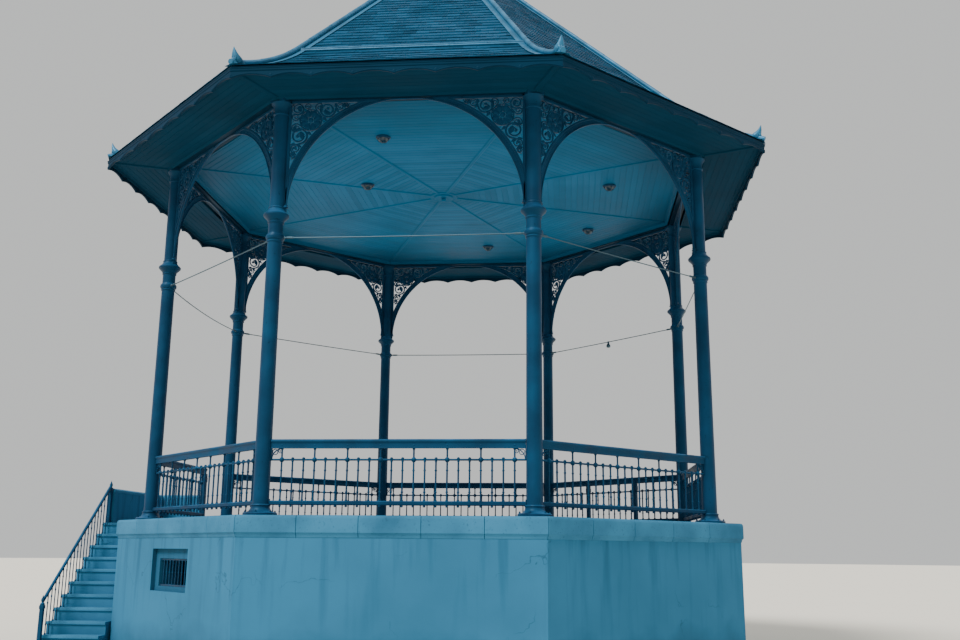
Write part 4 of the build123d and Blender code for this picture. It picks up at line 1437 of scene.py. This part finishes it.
class BANDSTAND_OT_railings(bpy.types.Operator):
    """Railings between the columns, with turned balusters, knobs and scroll brackets"""

    bl_idname = "bandstand.railings"
    bl_label = "Railings"

    def execute(self, context):
        sizes = context.scene.bandstand_iron
        stamps = [self.baluster(sizes, False), self.baluster(sizes, True), self.bracket(sizes)]
        half_bay = sizes.circle * sin(HALF)
        end = half_bay - sizes.shaft_foot
        # Where posts stand, as shares of a bay; the one on the left is the end of the way in
        shares = {"left": (0.359,), "right_back": (0.325, 0.676)}
        for index, name in enumerate(SIDES):
            bm = bmesh.new()
            posts = [(share - 0.5) * 2 * half_bay for share in shares.get(name, ())]
            first = posts[0] if name == "left" else -end
            self.run(bm, sizes, first, end, posts, stamps)
            for x, sign in ((-end, -1), (end, 1)):
                if x >= first:
                    stamp(bm, stamps[2], put((x, -BAY_LINE, FLOOR), (-sign, 1, 1)))
            swing(bm, index * TURN)
            add_piece(bm, f"iron_railing_{name}", "wrought", [f"railing_{name}"], 40)
        for mesh in stamps:
            bpy.data.meshes.remove(mesh)
        return {"FINISHED"}

    def baluster(self, sizes, tall):
        """A turned baluster on the bottom rail; a tall one goes on through a ball to the top rail."""
        low, high, thin, fat = sizes.bottom_rail + 0.024, sizes.thin_rail, 11.5, 18
        profile = mm([(0, -52), (12, -49), (18, -38), (12, -26)], 0, sizes.bottom_rail)
        pairs = [(12, 0), (fat, 0), (fat, 12), (thin, 22), (thin, 100), (fat, 112), (thin, 124)]
        profile += mm(pairs, 0, low)
        pairs = [(thin, -145), (fat, -133), (thin, -121), (thin, -30), (fat, -20), (thin + 1, -12)]
        profile += mm(pairs, 0, high)
        if tall:
            for angle in fan(-pi / 2, pi / 2, 8)[1:-1]:
                side = max(thin / 1000, sizes.knob * cos(angle))
                profile.append((side, high + sizes.knob * sin(angle)))
            profile += mm([(thin, 38)], 0, high)
            profile += mm([(thin, -78), (fat, -68), (fat, -48)], 0, sizes.rail)
        else:
            profile += mm([(18, 0), (21, 12), (16, 26), (0, 34)], 0, high)
        bm = bmesh.new()
        turn(bm, profile, 10)
        return as_mesh(bm)

    def bracket(self, sizes):
        """A scroll under the top rail against the column, for the left end of a run."""
        bm = bmesh.new()
        level = sizes.rail - 0.05
        bend = 0.15
        points = [(bend * cos(angle), bend * (1 + sin(angle)) * 0.9) for angle in fan(1.5 * pi, pi, 14)]
        points = [Vector((0.16 + across, 0, level - 0.005 - fall)) for across, fall in points]
        rod(bm, rounded_bar(0.012, 0.024, 0.003), points)
        for x, z, radius in ((0.050, level - 0.052, 0.034), (0.118, level - 0.040, 0.024)):
            ring = [Vector((x + radius * cos(a), 0, z + radius * sin(a))) for a in fan(0, tau, 16)]
            rod(bm, rounded_bar(0.009, 0.018, 0.002), ring)
            bmesh.ops.create_icosphere(bm, subdivisions=1, radius=0.010, matrix=put((x, 0, z)))
        foot = sizes.bottom_rail
        for low, high in ((level - 0.150, level + 0.110), (foot - 0.05, foot + 0.05)):
            block(bm, (0.0, -0.026, low), (0.008, 0.026, high))
        return as_mesh(bm)

    def run(self, bm, sizes, x0, x1, posts, stamps):
        """Rails, balusters and posts from one end to the other."""
        side = mm([(12, 58), (28, 54), (38, 44), (40, 33), (38, 22), (30, 12), (27, 5), (24, -2)])
        side += mm([(24, -44), (27, -48), (27, -57)])
        top_rail = side + [(-x, y) for x, y in side[::-1]]
        thin_rail, bottom_rail = oval(0.013, 0.013, 10), rounded_bar(0.044, 0.056, 0.010)
        rails = ((sizes.rail, top_rail), (sizes.thin_rail, thin_rail), (sizes.bottom_rail, bottom_rail))
        for level, outline in rails:
            rod(bm, outline, [upright(x, level) for x in (x0, x1)], UP)
        count, room = round((x1 - x0) / sizes.pitch), 0.06
        for number in range(1, count):
            x = x0 + number * (x1 - x0) / count
            if any(abs(x - post) < room for post in posts):
                continue
            tall = number % 3 == 1
            stamp(bm, stamps[tall], put((x, -BAY_LINE, FLOOR)))
            if tall:
                boss = put((x, -BAY_LINE - 0.019, FLOOR + sizes.rail - 0.020), (0.013, 0.009, 0.013))
                bmesh.ops.create_uvsphere(bm, u_segments=10, v_segments=6, radius=1, matrix=boss)
        parts = ((0.040, 0.0, 0.09), (0.032, 0.09, 0.72), (0.038, 0.72, 0.80), (0.034, 0.80, 0.86))
        for x in posts:
            stack(bm, x, -BAY_LINE, FLOOR, parts, 0.004)


# Tie wires


class BANDSTAND_OT_wires(bpy.types.Operator):
    """Wires from column to column with a turnbuckle at each end; the one on the left has gone slack"""

    bl_idname = "bandstand.wires"
    bl_label = "Tie wires"

    def execute(self, context):
        sizes = context.scene.bandstand_iron
        level = FLOOR + sizes.lower_ring
        end = sizes.circle * sin(HALF) - 0.126
        turnbuckle = mm([(0, -2), (20, -2), (20, 8), (12, 14), (12, 30), (16, 34), (16, 110), (12, 114)])
        turnbuckle += mm([(12, 128), (0, 128)])
        lamp = mm([(0, -115), (30, -112), (42, -90), (38, -60), (22, -40), (16, -10), (18, 12), (0, 16)])
        bm = bmesh.new()
        for index, name in enumerate(SIDES):
            sag = 0.06 if name == "left" else 0.008
            hang = [(share, sag * (1 - share * share)) for share in fan(-1, 1, 16)]
            points = [Vector((end * share, -BAY_LINE, level - drop)) for share, drop in hang]
            made = rod(bm, oval(0.008, 0.008, 8), points, UP)
            for sign in (-1, 1):
                place = put((sign * end, -BAY_LINE, level)) @ Matrix.Rotation(-sign * pi / 2, 4, "Y")
                made += turn(bm, turnbuckle, 12, place)
            if name == "right_back":
                made += turn(bm, lamp, 16, put(points[8]))
            swing(bm, index * TURN, made)
        add_piece(bm, "tie_wire_set", "wire", ["tie_wires"], 40)
        return {"FINISHED"}


# Stair


class BANDSTAND_OT_stair(bpy.types.Operator):
    """Rendered stair with stone treads, a capped parapet and an iron handrail"""

    bl_idname = "bandstand.stair"
    bl_label = "Stair"

    def execute(self, context):
        sizes = context.scene.bandstand_platform
        low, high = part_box("stair")
        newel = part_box("stair_railing")
        self.front = newel[1].y - (newel[1].x - newel[0].x)
        self.rise = FLOOR / sizes.risers
        self.going = (self.front - low.y) / (sizes.risers - 1)
        self.wall_end = self.front + 0.07
        self.masonry(sizes, low, high)
        self.treads(sizes, low, high)
        self.cappings(sizes, low, high)
        self.handrail(sizes, *newel)
        return {"FINISHED"}

    def masonry(self, sizes, low, high):
        """The masonry under the treads, with the parapet walls."""
        under, parapet = FLOOR - sizes.tread, sizes.parapet
        points = [(high.y, 0.0), (high.y, under), (self.front, under)]
        for step in range(1, sizes.risers):
            level = FLOOR - step * self.rise - sizes.tread
            points += [(self.front - (step - 1) * self.going, level), (self.front - step * self.going, level)]
        bm = bmesh.new()
        prism(bm, [(low.x, y, z) for y, z in points + [(low.y, 0.0)]], (high.x - low.x, 0, 0))
        top = high.z - sizes.capping
        block(bm, (low.x, self.wall_end, under), (low.x + parapet, high.y, top))
        block(bm, (low.x + parapet, high.y - parapet, under), (high.x, high.y, top))
        add_piece(bm, "stair_masonry", "render", ["stair"])

    def treads(self, sizes, low, high):
        """Stone slabs with a rounded nose on every step and on the landing."""
        bm = bmesh.new()
        under, parapet, front = FLOOR - sizes.tread, sizes.parapet, self.front
        for step in range(1, sizes.risers):
            level = FLOOR - step * self.rise
            start = front - step * self.going
            nose = max(low.y, start - sizes.nosing)
            block(bm, (low.x, nose, level - sizes.tread), (high.x, start + self.going, level))
        slabs, joint = 3, 0.003
        long = (high.y - parapet - front) / slabs
        for number in range(slabs):
            start = front + number * long
            nose = start + joint if number else start - sizes.nosing
            block(bm, (low.x + parapet, nose, under), (high.x, start + long, FLOOR))
        block(bm, (low.x, front - sizes.nosing, under), (low.x + parapet - 0.002, self.wall_end, FLOOR))
        soften(bm, 0.008, 2)
        add_piece(bm, "stair_treads", "stone")

    def cappings(self, sizes, low, high):
        """Stones on the parapet, weathered to shed water."""
        bm = bmesh.new()
        parapet, capping = sizes.parapet, sizes.capping
        base, middle = high.z - capping, parapet / 2
        outline = [(0.0, 0.0), (parapet, 0.0), (parapet, 0.045), (middle + 0.02, capping)]
        outline += [(middle - 0.02, capping), (0.0, 0.045)]
        first, stones = self.wall_end, 3
        long = (high.y - first) / stones
        for number in range(stones):
            start = first + number * long + (0.004 if number else 0.0)
            points = [(low.x + x, start, base + z) for x, z in outline]
            prism(bm, points, (0, first + (number + 1) * long - start, 0))
        points = [(low.x + parapet, high.y - parapet + x, base + z) for x, z in outline]
        prism(bm, points, (high.x - low.x - parapet, 0, 0))
        bmesh.ops.recalc_face_normals(bm, faces=bm.faces[:])
        soften(bm, 0.005)
        add_piece(bm, "parapet_stones", "stone")

    def handrail(self, sizes, low, high):
        """Sloping rail on balusters between a pointed newel at the landing and one at the foot."""
        bm = bmesh.new()
        x, half = (low.x + high.x) / 2, (high.x - low.x) / 2
        top, foot = high.y - half, low.y + half
        slope, rail_level = self.rise / self.going, 0.62 - 0.025
        start = FLOOR + rail_level
        line = [Vector((x, y, start - (top - y) * slope)) for y in (foot, top)]
        rod(bm, oval(0.024, 0.024, 12), line, UP)
        self.newel(bm, x, foot, self.rise, half, 0.75)
        self.newel(bm, x, top, FLOOR, half, high.z - FLOOR)
        for step in range(1, sizes.risers - 1):
            for share in (0.25, 0.75):
                y = self.front - (step - 1 + share) * self.going
                if y < foot + 2 * half:
                    continue
                base = FLOOR - step * self.rise
                tall = start - (top - y) * slope - base - 0.018
                profile = mm([(14, 0), (14, 14), (8, 26), (8, 130), (14, 145), (8, 160)])
                profile += mm([(8, -160), (14, -145), (8, -130), (8, 0)], 0, tall)
                turn(bm, profile, 10, put((x, y, base)))
        add_piece(bm, "stair_handrail", "wrought", ["stair_railing"], 40)

    def newel(self, bm, x, y, base, half, tall):
        """A square newel with a moulded head and a pointed cap."""
        head, neck = tall - 0.15, tall - 0.20
        parts = ((half, 0.0, 0.10), (half - 0.008, 0.10, neck), (half - 0.002, neck, head))
        stack(bm, x, y, base, parts, 0.003)
        cap = mm([(-4, -150), (0, -140), (-4, -125)], half)
        cap += mm([(14, -110), (24, -90), (26, -75), (18, -55), (8, -30), (0, 0)])
        turn(bm, cap, 16, put((x, y, base + tall)))


OPERATORS = (
    BANDSTAND_OT_finishes,
    BANDSTAND_OT_stage,
    BANDSTAND_OT_platform,
    BANDSTAND_OT_floor,
    BANDSTAND_OT_columns,
    BANDSTAND_OT_arches,
    BANDSTAND_OT_beam,
    BANDSTAND_OT_ceiling,
    BANDSTAND_OT_soffit,
    BANDSTAND_OT_valance,
    BANDSTAND_OT_roof,
    BANDSTAND_OT_hips,
    BANDSTAND_OT_finial,
    BANDSTAND_OT_railings,
    BANDSTAND_OT_wires,
    BANDSTAND_OT_stair,
)
GROUPS = (
    ("bandstand_platform", PlatformSizes),
    ("bandstand_iron", IronSizes),
    ("bandstand_roof", RoofSizes),
    ("bandstand_finishes", Finishes),
)


class BANDSTAND_PT_panel(bpy.types.Panel):
    """Lists the bandstand's pieces, sizes and colours"""

    bl_idname = "BANDSTAND_PT_panel"
    bl_label = "Bandstand"
    bl_space_type = "VIEW_3D"
    bl_region_type = "UI"
    bl_category = "Bandstand"

    def draw(self, context):
        column = self.layout.column(align=True)
        for operator in OPERATORS:
            column.operator(operator.bl_idname)
        for name, group in GROUPS:
            box = self.layout.box()
            for key in group.__annotations__:
                box.prop(getattr(context.scene, name), key)


def register():
    for name, group in GROUPS:
        bpy.utils.register_class(group)
        setattr(bpy.types.Scene, name, PointerProperty(type=group))
    for operator in OPERATORS:
        bpy.utils.register_class(operator)
    bpy.utils.register_class(BANDSTAND_PT_panel)


def unregister():
    bpy.utils.unregister_class(BANDSTAND_PT_panel)
    for operator in reversed(OPERATORS):
        bpy.utils.unregister_class(operator)
    for name, group in reversed(GROUPS):
        delattr(bpy.types.Scene, name)
        bpy.utils.unregister_class(group)


def main():
    register()
    for operator in OPERATORS:
        family, action = operator.bl_idname.split(".")
        getattr(getattr(bpy.ops, family), action)()


if __name__ == "__main__":
    main()
